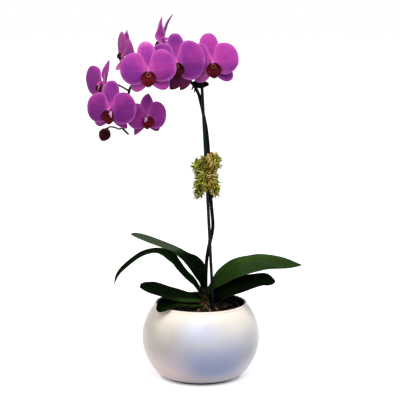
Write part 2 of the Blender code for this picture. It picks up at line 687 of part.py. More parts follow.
def tepal_outline(rows):
    """Shares of the length and of the half width: a full ellipse drawn in towards the claw."""
    outline = []
    for i in range(rows + 1):
        share = (1 - math.cos(math.pi * (0.06 + 0.90 * i / rows))) / 2
        claw = 1 - 0.72 * max(0.0, 1 - share / 0.45) ** 1.6
        outline.append((share, (2 * math.sqrt(share * (1 - share))) ** 0.85 * claw))
    return outline


def tepal_points(tepal, start, scale, rows, columns, rise, forward):
    """Front and back points of one tepal, in the flower's frame: x right, -y forward, z up."""
    angle, length, before, after, bend, curl = tepal
    outline = tepal_outline(rows)
    first = outline[0][0]
    last = outline[-1][0]
    front = []
    back = []
    for share, wide in outline:
        along = (share - first) / (last - first)
        heading = math.radians(angle + bend * along)
        middle = math.radians(angle + bend * along / 2)
        reach = start + (length - start) * along
        centre = Vector((math.sin(middle), 0.0, math.cos(middle))) * reach
        side = Vector((math.cos(heading), 0.0, -math.sin(heading)))
        for j in range(columns + 1):
            t = 2 * j / columns - 1
            half = after if t > 0 else before
            depth = forward + rise(along, t * wide) - curl * along**2
            point = (centre + side * (t * half * wide) + Vector((0.0, -depth, 0.0))) * scale
            front.append(point + Vector((0.0, -TEPAL_THICKNESS / 2, 0.0)))
            back.append(point + Vector((0.0, TEPAL_THICKNESS / 2, 0.0)))
    return front, back


def petal_rise(lean):
    """Petals lean forward, then reflex at the tip and at both sides."""
    slope = math.tan(math.radians(lean))

    def rise(along, t):
        return 40.0 * slope * along - 5.0 * along**3 - 2.0 * t * t

    return rise


def sepal_rise(along, t):
    return -along - 1.5 * along**2 + 1.2 * t * t


def build_petal(name, tepal, scale, lean, look, hub):
    rows, columns = 6, 4
    start = (COLUMN_RADIUS + PETAL_CLEARANCE) / scale
    front, back = tepal_points(tepal, start, scale, rows, columns, petal_rise(lean), PETAL_FORWARD)
    front_faces, back_faces, edge, offset = sheet_grid(rows, columns)
    rim = [(a, a + offset, b + offset, b) for a, b in zip(edge, edge[1:] + edge[:1])]
    made = solid(name, front + back, front_faces + back_faces + rim, look)
    made.parent = hub


def clock_angle(point):
    """Angle of a flower point, clockwise from the top as seen from the front."""
    return math.atan2(point.x, point.z)


def build_sepals(name, tepals, scale, look, hub):
    """Three sepals joined by a ring round the column's foot."""
    rows, columns = 5, 3
    arc_steps = 4
    points = []
    faces = []
    mouths = []
    offset = (rows + 1) * (columns + 1)
    for which in ("dorsal", "lateral_right", "lateral_left"):
        first = len(points)
        front, back = tepal_points(tepals[which], TEPAL_START, scale, rows, columns, sepal_rise, 0.0)
        points += front + back
        front_faces, back_faces, edge, _ = sheet_grid(rows, columns, first)
        faces += front_faces + back_faces
        mouth = [first + j for j in range(columns + 1)]
        faces += [
            (a, a + offset, b + offset, b)
            for a, b in zip(edge, edge[1:] + edge[:1])
            if not (a in mouth and b in mouth)
        ]
        mouths.append(mouth)
    loop = []
    for mouth, following in zip(mouths, mouths[1:] + mouths[:1]):
        loop += [(index, index + offset) for index in mouth]
        start = clock_angle(points[mouth[-1]])
        sweep = (clock_angle(points[following[0]]) - start) % (2 * math.pi)
        reach = math.hypot(points[mouth[-1]].x, points[mouth[-1]].z)
        for k in range(1, arc_steps):
            turn = start + sweep * k / arc_steps
            for half in (-TEPAL_THICKNESS / 2, TEPAL_THICKNESS / 2):
                points.append(Vector((reach * math.sin(turn), half, reach * math.cos(turn))))
            loop.append((len(points) - 2, len(points) - 1))
    ring = (COLUMN_RADIUS + GAP) * 1.06
    inner = []
    for index, _ in loop:
        turn = clock_angle(points[index])
        for half in (-TEPAL_THICKNESS / 2, TEPAL_THICKNESS / 2):
            points.append(Vector((ring * math.sin(turn), half, ring * math.cos(turn))))
        inner.append((len(points) - 2, len(points) - 1))
    joined = {tuple(pair) for mouth in mouths for pair in zip(mouth, mouth[1:])}
    for i, (front_outer, back_outer) in enumerate(loop):
        n = (i + 1) % len(loop)
        faces.append((front_outer, loop[n][0], inner[n][0], inner[i][0]))
        faces.append((back_outer, inner[i][1], inner[n][1], loop[n][1]))
        faces.append((inner[i][0], inner[n][0], inner[n][1], inner[i][1]))
        if (front_outer, loop[n][0]) not in joined:
            faces.append((front_outer, back_outer, loop[n][1], loop[n][0]))
    made = solid(name, points, faces, look)
    made.parent = hub


def build_lip(name, scale, look, hub):
    """A boat-shaped lip below the column, its sides turned up towards the viewer."""
    spine = [Vector((0.0, y, z)) * scale for y, z, _ in LIP_STATIONS]
    across = [Vector((1.0, 0.0, 0.0))] * len(spine)
    halves = [half * scale for _, _, half in LIP_STATIONS]

    def lift(t, half, _share):
        return 0.42 * half * t * t

    made = blade(name, spine, across, halves, look, 4, TEPAL_THICKNESS, lift)
    made.parent = hub


def stalk_start(wanted, following, radius):
    """The start of a stalk: on the spike's skin near the wanted point, clear of it by the gap."""
    samples = curve_through(SPIKE_ROUTE, 8)
    at = min(range(1, len(samples) - 1), key=lambda i: (Vector(samples[i][:3]) - wanted).length)
    centre = Vector(samples[at][:3])
    along = (Vector(samples[at + 1][:3]) - Vector(samples[at - 1][:3])).normalized()
    way = (following - centre).normalized()
    level = abs(way.dot(along))
    reach = (samples[at][3] + GAP + STALK_CLEARANCE + radius * level) / math.sqrt(1 - level**2)
    return centre + way * reach


def build_column(name, centre, turn, scale, route, look):
    """The stalk from the spike, the ovary, and the column that stands out in front of the hub."""
    radius = STALK_RADIUS * scale
    start = stalk_start(Vector(route[0]), Vector(route[1]), radius)
    behind = centre + turn @ Vector((0.0, OVARY_DEPTH * scale, 0.0))
    stalk = [(*p, radius) for p in (start, *route[1:])] + [(*behind, OVARY_RADIUS * scale)]
    foot = [(*(centre + turn @ Vector((0.0, y, 0.0))), COLUMN_RADIUS) for y in (1.2, -1.2)]
    front = centre + turn @ Vector((0.0, -COLUMN_LENGTH, -1.5)) * scale
    tip = centre + turn @ Vector((0.0, -COLUMN_LENGTH - ANTHER_LENGTH, -2.4)) * scale
    tube(name, curve_through(stalk, 2) + foot + [(*front, 2.3 * scale), (*tip, 1.2 * scale)], look)


def build_flowers():
    petal_pink = material("petal_magenta", (0.42, 0.05, 0.33), 0.55)
    sepal_pink = material("sepal_magenta", (0.40, 0.05, 0.32), 0.55)
    lip_red = material("lip_maroon", (0.12, 0.003, 0.015), 0.5)
    column_pink = material("column_pink", (0.55, 0.12, 0.35), 0.5)
    for name, flower in FLOWERS.items():
        face, pitch, roll = flower["turn"]
        scale = flower["scale"]
        tepals = TEPALS | flower["tepals"]
        hub = bpy.data.objects.new(f"{name}_hub", None)
        hub.rotation_mode = "YXZ"
        hub.rotation_euler = (math.radians(-pitch), math.radians(roll), math.radians(-face))
        hub.location = Vector(flower["hub"]) * MM
        bpy.context.scene.collection.objects.link(hub)
        for side in ("petal_left", "petal_right"):
            build_petal(f"{name}_{side}", tepals[side], scale, flower["lean"], petal_pink, hub)
        build_sepals(f"{name}_sepals", tepals, scale, sepal_pink, hub)
        build_lip(f"{name}_lip", scale, lip_red, hub)
        turn = Euler(hub.rotation_euler, "YXZ").to_matrix()
        build_column(f"{name}_column", Vector(flower["hub"]), turn, scale, flower["stalk"], column_pink)


def build_bud():
    skin = material("bud_skin", (0.06, 0.015, 0.02), 0.5)
    tube("bud", BUD_ROUTE, skin, sides=12)


def main():
    clear_scene()
    build_bowl()
    build_grow_pot()
    stake_cutter = build_stake()
    build_mix(stake_cutter)
    build_bark_chips()
    build_crown()
    build_leaves()
    spike_cutter = build_spike()
    build_moss((stake_cutter, spike_cutter))
    build_tie()
    build_clip()
    build_flowers()
    build_bud()
    bpy.context.view_layer.update()


main()
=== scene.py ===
"""A potted moth orchid, dressed: glazed bowl, bark mix, strap leaves and a staked, arching flower spike.

Laid out as an add-on and run as a script. The frame's bodies are in metres, +Z up, flowers facing -Y, with
the origin under the middle of the bowl's foot. Lengths in the tables below are in millimetres.
"""

import math
from collections import namedtuple

import bmesh
import bpy
import numpy as np
from mathutils import Euler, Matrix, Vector


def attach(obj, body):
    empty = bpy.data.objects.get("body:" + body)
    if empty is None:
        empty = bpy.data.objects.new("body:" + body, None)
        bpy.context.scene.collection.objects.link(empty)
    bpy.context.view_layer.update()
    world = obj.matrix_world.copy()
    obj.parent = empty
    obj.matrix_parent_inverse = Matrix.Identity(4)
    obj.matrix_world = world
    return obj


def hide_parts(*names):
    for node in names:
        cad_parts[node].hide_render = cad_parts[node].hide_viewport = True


bl_info = {
    "name": "Potted orchid",
    "version": (1, 0, 0),
    "blender": (4, 5, 0),
    "location": "3D View > Sidebar > Orchid",
    "description": "Dresses a potted moth orchid: bowl, bark, leaves, staked spike, moss and flowers",
    "category": "Object",
}

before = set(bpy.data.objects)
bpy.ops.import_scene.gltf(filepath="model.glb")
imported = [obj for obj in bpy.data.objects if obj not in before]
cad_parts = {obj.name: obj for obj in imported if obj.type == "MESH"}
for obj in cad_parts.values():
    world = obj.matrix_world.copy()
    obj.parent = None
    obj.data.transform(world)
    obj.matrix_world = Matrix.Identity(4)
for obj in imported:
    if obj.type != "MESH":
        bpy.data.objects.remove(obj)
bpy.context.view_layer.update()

MM = 0.001
TURN = 2 * math.pi
UP = (0.0, 0.0, 1.0)
END_DOME = 0.35  # how far a tube's end bulges, as a share of its radius


def tone(code):
    """A linear colour from a six-digit sRGB code."""
    levels = [int(code[i : i + 2], 16) / 255 for i in (0, 2, 4)]
    return tuple(v / 12.92 if v <= 0.04045 else ((v + 0.055) / 1.055) ** 2.4 for v in levels)


def rgba(colour):
    """Four channels from an sRGB code, a linear colour or one grey level."""
    if isinstance(colour, str):
        colour = tone(colour)
    elif isinstance(colour, float):
        colour = (colour, colour, colour)
    return (*colour, 1.0)


# Bowl: an ellipse of revolution, cut off at the foot and at the rim.
BOWL_RADIUS = 95.0
BOWL_HALF_HEIGHT = 85.5
BOWL_CENTRE_Z = 66.0
BOWL_RIM_Z = 122.0
BOWL_WALL = 5.5
BOWL_FLOOR_Z = 7.0
BOWL_LIP_RISE = 2.4
BOWL_LIP_REACH = 2.5
FOOT_RADIUS = 58.5
FOOT_HEIGHT = 3.0

GROW_TOP_RADIUS = 61.5
GROW_BASE_RADIUS = 46.0
GROW_WALL = 1.6
GROW_RIM_Z = 115.5
GROW_FLANGE = 1.2
DRAIN_RADIUS = 8.0
MIX_TOP_Z = 110.0
MIX_TOP_RADIUS = 58.5

CROWN = (6.0, 0.0)
CROWN_TOP_Z = 144.0
CROWN_RADIUS = 9.0
ROOTS = ((200, 20), (285, 17), (348, 19), (28, 17), (95, 22), (150, 19))  # degrees from +X, and reach

STAKE_RADIUS = 2.1
STAKE_AT_MIX = np.array((20.2, -12.0, MIX_TOP_Z))
STAKE_LEAN = np.array((-0.051, 0.0326, 1.0))
STAKE_LOW_Z = 24.0
STAKE_TOP_Z = 478.0
STAKE_COAT = 0.4

# Flower spike: base to tip, as (x, y, z, radius).
SPIKE_ROUTE = (
    (7.5, 3.0, 137.0, 2.6),
    (8.5, 3.5, 145.2, 2.5),
    (8.4, 2.6, 165.0, 2.4),
    (9.6, 0.5, 190.0, 2.3),
    (12.2, -1.4, 208.0, 2.3),
    (15.6, -2.6, 222.5, 2.2),
    (18.6, -3.4, 238.0, 2.2),
    (19.4, -4.0, 253.0, 2.2),
    (17.0, -4.4, 280.0, 2.2),
    (14.9, -3.4, 312.0, 2.1),
    (13.2, -2.0, 345.0, 2.1),
    (12.0, -0.6, 372.0, 2.1),
    (9.4, 1.6, 398.0, 2.1),
    (6.6, 3.4, 414.0, 2.1),
    (3.4, 4.2, 429.0, 2.1),
    (-1.4, 4.4, 451.0, 2.0),
    (-6.2, 3.4, 463.0, 2.0),
    (-13.0, 3.0, 473.5, 1.9),
    (-26.0, 3.0, 483.0, 1.8),
    (-56.0, 2.0, 488.5, 1.7),
    (-84.0, -5.0, 487.0, 1.6),
    (-101.0, -9.0, 480.0, 1.6),
    (-109.5, -10.0, 470.0, 1.5),
    (-113.6, -10.0, 457.3, 1.5),
    (-118.3, -10.0, 433.2, 1.4),
    (-122.3, -10.0, 410.0, 1.3),
    (-122.8, -10.0, 404.5, 1.3),
    (-119.8, -9.4, 400.4, 1.1),
    (-114.0, -8.0, 394.5, 0.9),
)
SPIKE_EXTRA = 0.6  # added to the route's radius from a little above its base
SPIKE_NODES = (0.16, 0.37, 0.53)  # shares of the spike's length where a bare node wears a bract

MOSS_CENTRE_X = 9.5
MOSS_SEED = 7
STRAND_RADIUS = 0.75
STRAND_CURL = 7.0
TIE_Z = 333.0
TIE_SLOPE = 0.3
TIE_ACROSS = 18.0
TIE_DEEP = 14.5
TIE_STEPS = 220
TWINE_RADIUS = 0.65
PLY_OFFSET = 0.6  # of each ply from the twine's middle
# Tufts of the moss, as (x from the moss's centre, y, z, radius).
MOSS_TUFTS = (
    ((-10.5, 1.0, 352.0, 4.0), (-11.5, 0.5, 346.0, 7.0), (-12.5, -0.5, 338.0, 7.5), (-9.0, -1.0, 328.0, 7.0),
     (-10.0, -1.0, 313.0, 6.5), (-12.0, 0.0, 302.0, 5.5), (-13.0, 0.0, 296.0, 2.5)),
    ((12.0, 1.0, 359.0, 4.5), (11.0, 0.5, 353.0, 7.5), (10.0, -0.5, 346.0, 8.0), (7.0, -1.5, 333.0, 7.5),
     (8.0, -1.0, 320.0, 8.0), (11.5, 0.0, 307.0, 6.5), (13.0, 0.0, 296.0, 2.5)),
    ((1.0, -6.5, 357.0, 3.0), (0.0, -8.5, 347.0, 6.5), (-1.0, -9.0, 333.0, 6.5), (-0.5, -8.5, 320.0, 6.5),
     (0.5, -6.5, 310.0, 3.0)),
    ((1.0, 9.0, 355.0, 3.5), (0.0, 9.5, 340.0, 7.5), (0.0, 9.5, 325.0, 7.5), (1.0, 8.5, 308.0, 3.5)),
)

CLIP_Z = 473.0
CLIP_HEIGHT = 11.0

# Leaves: stations (x, y, z), then (across x, y, z), half width.
LEAVES = {
    "leaf_1": (
        ((12.3, 2.2, 143.0), (0.25, 0.62, 0.74), 11.0),
        ((25.0, -0.5, 162.5), (0.20, 0.72, 0.66), 21.5),
        ((44.0, -6.0, 178.0), (0.08, 0.88, 0.48), 27.0),
        ((71.0, -11.0, 190.0), (0.0, 0.95, 0.31), 28.0),
        ((98.0, -12.0, 195.2), (0.0, 0.95, 0.31), 27.5),
        ((135.0, -10.0, 191.0), (0.0, 0.96, 0.28), 18.0),
        ((163.0, -5.0, 183.2), (0.0, 0.97, 0.24), 1.2),
    ),
    "leaf_2": (
        ((14.6, 1.0, 127.0), (0.10, 0.50, 0.86), 13.0),
        ((24.5, -2.5, 138.0), (0.10, 0.60, 0.79), 19.0),
        ((38.0, -13.0, 149.5), (0.10, 0.76, 0.64), 21.0),
        ((56.0, -21.0, 158.0), (0.04, 0.86, 0.50), 21.5),
        ((78.0, -24.0, 164.0), (0.0, 0.91, 0.41), 20.5),
        ((98.0, -26.0, 167.5), (0.0, 0.92, 0.39), 18.0),
        ((110.0, -28.0, 165.2), (0.0, 0.92, 0.39), 14.0),
        ((118.5, -28.5, 161.5), (0.0, 0.92, 0.39), 7.0),
    ),
    "leaf_3": (
        ((2.8, 8.8, 141.0), (0.62, 0.78, 0.0), 5.0),
        ((1.6, 12.0, 154.0), (0.68, 0.72, 0.06), 9.5),
        ((-2.8, 14.5, 165.2), (0.61, 0.77, 0.18), 14.8),
        ((-10.0, 20.0, 176.2), (0.49, 0.85, 0.19), 20.0),
        ((-19.8, 27.5, 184.2), (0.41, 0.91, 0.10), 20.0),
        ((-30.6, 37.0, 189.6), (0.40, 0.92, -0.01), 17.0),
        ((-44.7, 49.0, 196.0), (0.42, 0.90, 0.02), 15.0),
        ((-62.0, 61.0, 200.5), (0.55, 0.83, 0.00), 15.5),
        ((-92.0, 80.0, 208.5), (0.57, 0.82, 0.06), 13.0),
        ((-116.0, 96.0, 215.5), (0.57, 0.82, 0.10), 7.5),
    ),
    "leaf_4": (
        ((-2.9, -2.2, 140.5), (0.10, 0.92, 0.38), 8.0),
        ((-12.5, -3.0, 154.8), (0.05, 0.90, 0.43), 9.5),
        ((-25.3, -4.0, 167.0), (0.05, 0.90, 0.43), 11.5),
        ((-38.5, -5.0, 182.4), (0.04, 0.89, 0.45), 14.5),
        ((-49.0, -6.0, 195.0), (0.04, 0.92, 0.39), 15.0),
        ((-70.0, -6.0, 204.8), (0.0, 0.99, 0.10), 13.5),
        ((-94.0, -8.0, 200.0), (-0.06, 0.98, 0.14), 12.5),
        ((-120.0, -12.0, 181.5), (-0.12, 0.98, 0.12), 11.0),
        ((-133.5, -14.5, 167.0), (-0.12, 0.98, 0.08), 7.0),
        ((-139.0, -16.0, 152.2), (0.0, 1.0, 0.0), 1.2),
    ),
    "leaf_5": (
        ((-1.9, -6.0, 127.3), (-0.30, 0.62, 0.72), 5.0),
        ((-21.0, -17.0, 132.0), (-0.30, 0.76, 0.58), 12.5),
        ((-42.0, -28.0, 137.6), (-0.34, 0.82, 0.46), 17.5),
        ((-64.0, -39.0, 146.0), (-0.36, 0.84, 0.40), 22.5),
        ((-83.0, -46.0, 152.0), (-0.38, 0.85, 0.36), 18.0),
        ((-96.0, -50.0, 157.5), (-0.38, 0.85, 0.36), 12.5),
    ),
    "leaf_6": (
        ((-0.3, -8.4, 117.4), (-0.50, 0.70, 0.50), 4.0),
        ((-17.0, -22.0, 122.0), (-0.52, 0.72, 0.46), 7.0),
        ((-35.0, -36.0, 128.5), (-0.54, 0.74, 0.40), 10.5),
        ((-51.0, -48.0, 128.5), (-0.52, 0.74, 0.44), 12.0),
        ((-61.0, -54.0, 125.0), (-0.46, 0.70, 0.54), 10.5),
        ((-67.5, -57.5, 119.5), (-0.40, 0.66, 0.62), 4.0),
    ),
}
LEAF_FOLD = 0.22  # how far a blade's rim stands off its middle, as a share of its half width
LEAF_STEPS = 12  # rows between two stations
LEAF_COLUMNS = 23  # points across a blade
LEAF_RIM = 0.5
LEAF_BODY = 1.5  # how much thicker a blade is away from its rim
# How much painted shade darkens each leaf near the crown and beyond (below 0, a painted grey sheen lightens
# it), the share of its length where that turns, how much painted light lightens its front half near the
# crown, and the share of its length that rounds off at the tip.
LeafTone = namedtuple("LeafTone", "near beyond turn front blunt")
LEAF_TONES = {
    "leaf_1": LeafTone(0.3, -0.08, 0.5, 0.0, 0.06),
    "leaf_2": LeafTone(1.0, 1.0, 0.5, 0.1, 0.06),
    "leaf_3": LeafTone(1.0, -0.3, 0.64, 0.0, 0.08),
    "leaf_4": LeafTone(1.0, 0.92, 0.5, 0.0, 0.08),
    "leaf_5": LeafTone(0.95, 1.0, 0.5, 0.6, 0.16),
    "leaf_6": LeafTone(0.8, 0.9, 0.5, 0.4, 0.06),
}

SEPAL_START = 2.5  # distance of a sepal's root from the hub
COLUMN_RADIUS = 2.5
PETAL_CLEARANCE = 0.6  # gap between the solid petals' roots and the column
PETAL_FORWARD = 2.3  # how far the petals stand in front of the sepals
# Cells along and across a tepal, and how far its margin ripples.
PETAL_GRID = (44, 32)
PETAL_WAVE = 0.7
SEPAL_GRID = (36, 18)
SEPAL_WAVE = 0.4
TEPAL_FIRST = 0.0089  # shares of the length where the solid tepals begin and end
TEPAL_LAST = 0.9961

# The outline of a tepal: how full its sides are, how deep its claw is and over what share of its length,
# where it is widest (skew), how pointed its tip is, and how many degrees it turns about its own length.
Form = namedtuple("Form", "power claw claw_share skew tip twist")
PETAL_FORM = Form(power=0.9, claw=0.55, claw_share=0.18, skew=0.87, tip=0.0, twist=0.0)
SEPAL_FORM = Form(power=0.85, claw=0.55, claw_share=0.4, skew=1.2, tip=0.1, twist=0.0)

# A tepal at scale 1: clockwise angle from the top as seen from the front, length from the hub, half width
# on the anticlockwise and on the clockwise side, in-plane bend, backward curl, distance of its root from
# the hub, how pink its root and its tip are (as its flower, where none is given), and its form. How pink
# stands for the tepal's tone together with painted light and shade.
Tepal = namedtuple("Tepal", "angle length before after bend curl start tone form")


def petal(angle, length, before, after, curl=0.0, start=None, tone=None, **form):
    return Tepal(angle, length, before, after, 0.0, curl, start, tone, PETAL_FORM._replace(**form))


def sepal(angle, length, before, after, bend=0.0, curl=2.0, tone=None, **form):
    return Tepal(angle, length, before, after, bend, curl, SEPAL_START, tone, SEPAL_FORM._replace(**form))


# An open flower: its hub, its turn (degrees to the left of -Y, upward pitch, clockwise roll), its scale,
# how far the petals lean forward, how pink it is (its tone together with painted light and shade), the
# stalk's route from the spike, and its five tepals.
# The lip may be smaller, moved or darker with painted shade, its ring darker with painted shade, and its
# left (-1) or right (1) lobe pale.
Bloom = namedtuple(
    "Bloom",
    "hub turn scale lean pink stalk petal_left petal_right dorsal lateral_left lateral_right"
    " lip_size lip_move lip_dim ring_dim pale_lobe",
    defaults=(1.0, (0.0, 0.0, 0.0), 0.0, 0.0, 0),
)
FLOWERS = {
    "flower_1": Bloom(
        hub=(-80.9, -60.0, 500.5), turn=(-6, 4, 0), scale=1.0, lean=5, pink=0.5,
        stalk=((-95.0, -8.2, 483.8), (-93.0, -24.0, 484.5), (-84.5, -44.0, 494.0)),
        petal_left=petal(-94.0, 42.5, 22.5, 27.0, tone=(0.5, 0.45)),
        petal_right=petal(86.0, 43.5, 29.0, 20.5),
        dorsal=sepal(-5.0, 42.5, 14.0, 14.0, tone=(0.45, 1.35), skew=1.35),
        lateral_left=sepal(-146.0, 39.5, 12.0, 12.0, tone=(1.15, 1.25)),
        lateral_right=sepal(133.0, 42.0, 12.0, 12.5, tone=(0.4, 0.8)),
    ),
    "flower_2": Bloom(
        hub=(-38.4, -36.0, 512.5), turn=(-3, 2, -2), scale=1.0, lean=5, pink=0.2,
        stalk=((-44.0, 2.6, 487.0), (-43.0, -8.0, 492.0), (-40.0, -22.0, 505.0)),
        lip_dim=0.82, ring_dim=0.35,
        petal_left=petal(-90.0, 41.0, 24.0, 28.0, tone=(-0.15, -0.2)),
        petal_right=petal(90.0, 44.5, 30.0, 31.0),
        dorsal=sepal(0.0, 41.5, 13.8, 13.8, tone=(0.5, -0.05)),
        lateral_left=sepal(-198.0, 45.5, 14.0, 12.5, bend=63.0, curl=3.0, tone=(-0.6, -0.9), tip=0.7),
        lateral_right=sepal(116.0, 46.0, 13.0, 14.0, bend=116.0, curl=-1.5, tone=(-0.6, -1.0), tip=0.8),
    ),
    "flower_3": Bloom(
        hub=(17.3, -13.0, 510.5), turn=(-4, 2, -8), scale=1.0, lean=5, pink=0.75,
        stalk=((-20.0, 3.2, 479.5), (-8.0, 10.0, 489.0), (12.0, 5.0, 504.0)),
        lip_dim=0.4, ring_dim=0.45,
        petal_left=petal(-82.0, 40.0, 18.0, 27.0, tone=(0.4, -0.25)),
        petal_right=petal(93.0, 42.0, 27.0, 22.5),
        dorsal=sepal(-2.0, 43.0, 15.0, 15.0, tone=(0.6, 0.85), skew=1.3),
        lateral_left=sepal(-135.0, 40.0, 12.5, 12.5, tone=(1.4, 1.25)),
        lateral_right=sepal(141.0, 43.0, 12.0, 12.5, tone=(-0.1, 0.3)),
    ),
    "flower_4": Bloom(
        hub=(-138.7, -50.0, 440.5), turn=(20, 2, 0), scale=0.92, lean=6, pink=0.05,
        stalk=((-118.0, -10.0, 434.6), (-119.0, -22.0, 438.0), (-130.0, -36.0, 441.0)),
        lip_dim=0.3, ring_dim=0.9, pale_lobe=1,
        petal_left=petal(-92.0, 42.5, 25.0, 26.0),
        petal_right=petal(90.0, 46.5, 27.0, 27.0),
        dorsal=sepal(0.0, 45.5, 15.2, 15.2, tone=(0.3, 0.2)),
        lateral_left=sepal(-136.0, 41.0, 12.0, 12.0, tone=(0.3, 0.3)),
        lateral_right=sepal(141.0, 44.0, 11.0, 11.0, tone=(-0.1, 0.0), tip=0.8),
    ),
    "flower_5": Bloom(
        hub=(-85.8, -24.0, 428.0), turn=(-24, 4, 4), scale=0.85, lean=6, pink=0.55,
        stalk=((-121.2, -10.0, 417.0), (-112.0, -3.0, 420.0), (-95.0, -8.0, 427.0)),
        lip_dim=0.15, ring_dim=0.6, pale_lobe=-1,
        petal_left=petal(-100.0, 40.0, 25.0, 23.0, tone=(0.9, 0.7)),
        petal_right=petal(90.0, 40.0, 24.0, 26.0, tone=(0.6, 0.6)),
        dorsal=sepal(3.0, 38.5, 13.5, 12.5, bend=12.0, tone=(0.9, 0.15), tip=0.8),
        lateral_left=sepal(-150.0, 44.0, 10.0, 10.0, bend=-8.0, tip=1.0),
        lateral_right=sepal(136.0, 41.0, 11.0, 11.0, tip=0.4),
    ),
    "flower_6": Bloom(
        hub=(-153.5, 12.0, 474.0), turn=(65, 0, 13), scale=0.95, lean=23, pink=0.2,
        stalk=((-112.0, -10.0, 463.4), (-128.2, 0.0, 470.8), (-142.0, 9.0, 474.0)),
        lip_size=0.72, lip_dim=0.5, ring_dim=0.9, pale_lobe=1,
        petal_left=petal(-96.0, 47.0, 25.0, 25.0),
        petal_right=petal(92.0, 40.0, 24.0, 24.0, tone=(0.8, 0.7)),
        dorsal=sepal(
            12.0, 43.0, 13.0, 13.0, curl=1.0, tone=(0.7, 0.7), tip=0.8, skew=0.8, claw=0.3, claw_share=0.2
        ),
        lateral_left=sepal(-141.0, 43.0, 12.5, 12.0),
        lateral_right=sepal(141.0, 43.0, 12.0, 12.5),
    ),
    "flower_7": Bloom(
        hub=(-117.0, 6.0, 518.5), turn=(68, -4, 2), scale=0.95, lean=6, pink=0.5,
        stalk=((-92.0, -6.8, 485.0), (-94.0, 2.0, 500.0), (-104.0, 9.0, 515.0)),
        lip_size=0.55, lip_move=(0.0, -6.5, 6.0), lip_dim=0.75, ring_dim=0.9,
        petal_left=petal(-48.0, 41.0, 26.0, 27.0, tone=(0.7, 0.5)),
        petal_right=petal(78.0, 38.0, 24.0, 22.0, curl=3.0, tone=(0.55, 0.45)),
        dorsal=sepal(3.0, 42.0, 12.0, 12.0, curl=1.0, tone=(0.8, 0.7), twist=-20, tip=1.8),
        lateral_left=sepal(-162.0, 25.0, 11.0, 11.0, curl=-19.5, tone=(0.7, 1.6)),
        lateral_right=sepal(141.0, 43.0, 12.0, 12.5),
    ),
    "flower_8": Bloom(
        hub=(-58.0, 26.0, 543.0), turn=(91, 4, 0), scale=0.95, lean=4, pink=0.7,
        stalk=((-34.0, 2.8, 485.2), (-34.0, 14.0, 502.0), (-42.0, 26.0, 530.0)),
        lip_dim=0.4, ring_dim=0.5,
        petal_left=petal(-82.0, 38.0, 17.0, 19.0),
        petal_right=petal(
            6.0, 36.0, 4.0, 21.0, curl=-5.5, start=-9.0, tone=(0.4, 0.5),
            twist=62, tip=1.0, skew=0.34, claw=0.1, claw_share=0.05,
        ),
        dorsal=sepal(0.0, 42.0, 7.5, 7.5, curl=9.5, tone=(0.5, -0.5), twist=16, tip=1.0),
        lateral_left=sepal(-141.0, 43.0, 12.5, 12.0, tone=(0.2, 0.6), twist=-55),
        lateral_right=sepal(141.0, 43.0, 12.0, 12.5, tone=(0.2, 0.6), twist=55),
    ),
}

# The bud with its stalk, as (x, y, z, radius).
BUD_ROUTE = (
    (-124.9, -10.6, 404.3, 0.9),
    (-129.0, -11.2, 403.4, 0.9),
    (-134.5, -12.0, 405.6, 0.9),
    (-142.0, -14.0, 407.2, 1.0),
    (-146.3, -15.2, 405.0, 1.7),
    (-147.6, -16.0, 402.6, 5.6),
    (-149.2, -17.0, 399.2, 8.6),
    (-151.0, -18.0, 395.2, 9.7),
    (-152.9, -19.0, 391.0, 8.2),
    (-154.4, -19.6, 387.6, 5.0),
    (-155.2, -20.0, 385.8, 1.6),
)

CHIP_SEED = 3
# Bark chips: (x, y), turn in degrees, (length, width, height).
BARK_CHIPS = {
    "bark_chip_1": ((38.0, -4.0), 25.0, (15.0, 6.5, 4.5)),
    "bark_chip_2": ((-4.0, -22.0), 78.0, (12.0, 5.5, 4.5)),
    "bark_chip_3": ((48.0, 12.0), -35.0, (11.0, 6.0, 4.0)),
}

# How many points go round each form.
BOWL_SIDES = 160
LINER_SIDES = 120
MIX_SIDES = 96
CHIP_SIDES = 14
CROWN_SIDES = 36
ROOT_SIDES = 12
SPIKE_SIDES = 18
STAKE_SIDES = 20
PRONG_SIDES = 12
MOSS_SIDES = 26
TWINE_SIDES = 6
CUP_SIDES = 28
STALK_SIDES = 14
COLUMN_SIDES = 18
BUD_SIDES = 42


# ---------------------------------------------------------------- nodes


class Wire:
    """A node's output that takes part in Python arithmetic by adding Math nodes."""

    def __init__(self, nodes, socket):
        self.nodes = nodes
        self.socket = socket

    def math(self, operation, *values, clamp=False):
        settings = {"operation": operation, "use_clamp": clamp}
        return self.nodes.add("ShaderNodeMath", settings, dict(enumerate(values)))

    def __add__(self, other):
        return self.math("ADD", self, other)

    def __radd__(self, other):
        return self.math("ADD", other, self)

    def __sub__(self, other):
        return self.math("SUBTRACT", self, other)

    def __rsub__(self, other):
        return self.math("SUBTRACT", other, self)

    def __mul__(self, other):
        return self.math("MULTIPLY", self, other)

    def __rmul__(self, other):
        return self.math("MULTIPLY", other, self)

    def __truediv__(self, other):
        return self.math("DIVIDE", self, other)

    def __pow__(self, other):
        return self.math("POWER", self, other)

    def sine(self):
        return self.math("SINE", self)

    def size(self):
        return self.math("ABSOLUTE", self)

    def held(self):
        """The value, kept between 0 and 1."""
        return self.math("ADD", self, 0.0, clamp=True)


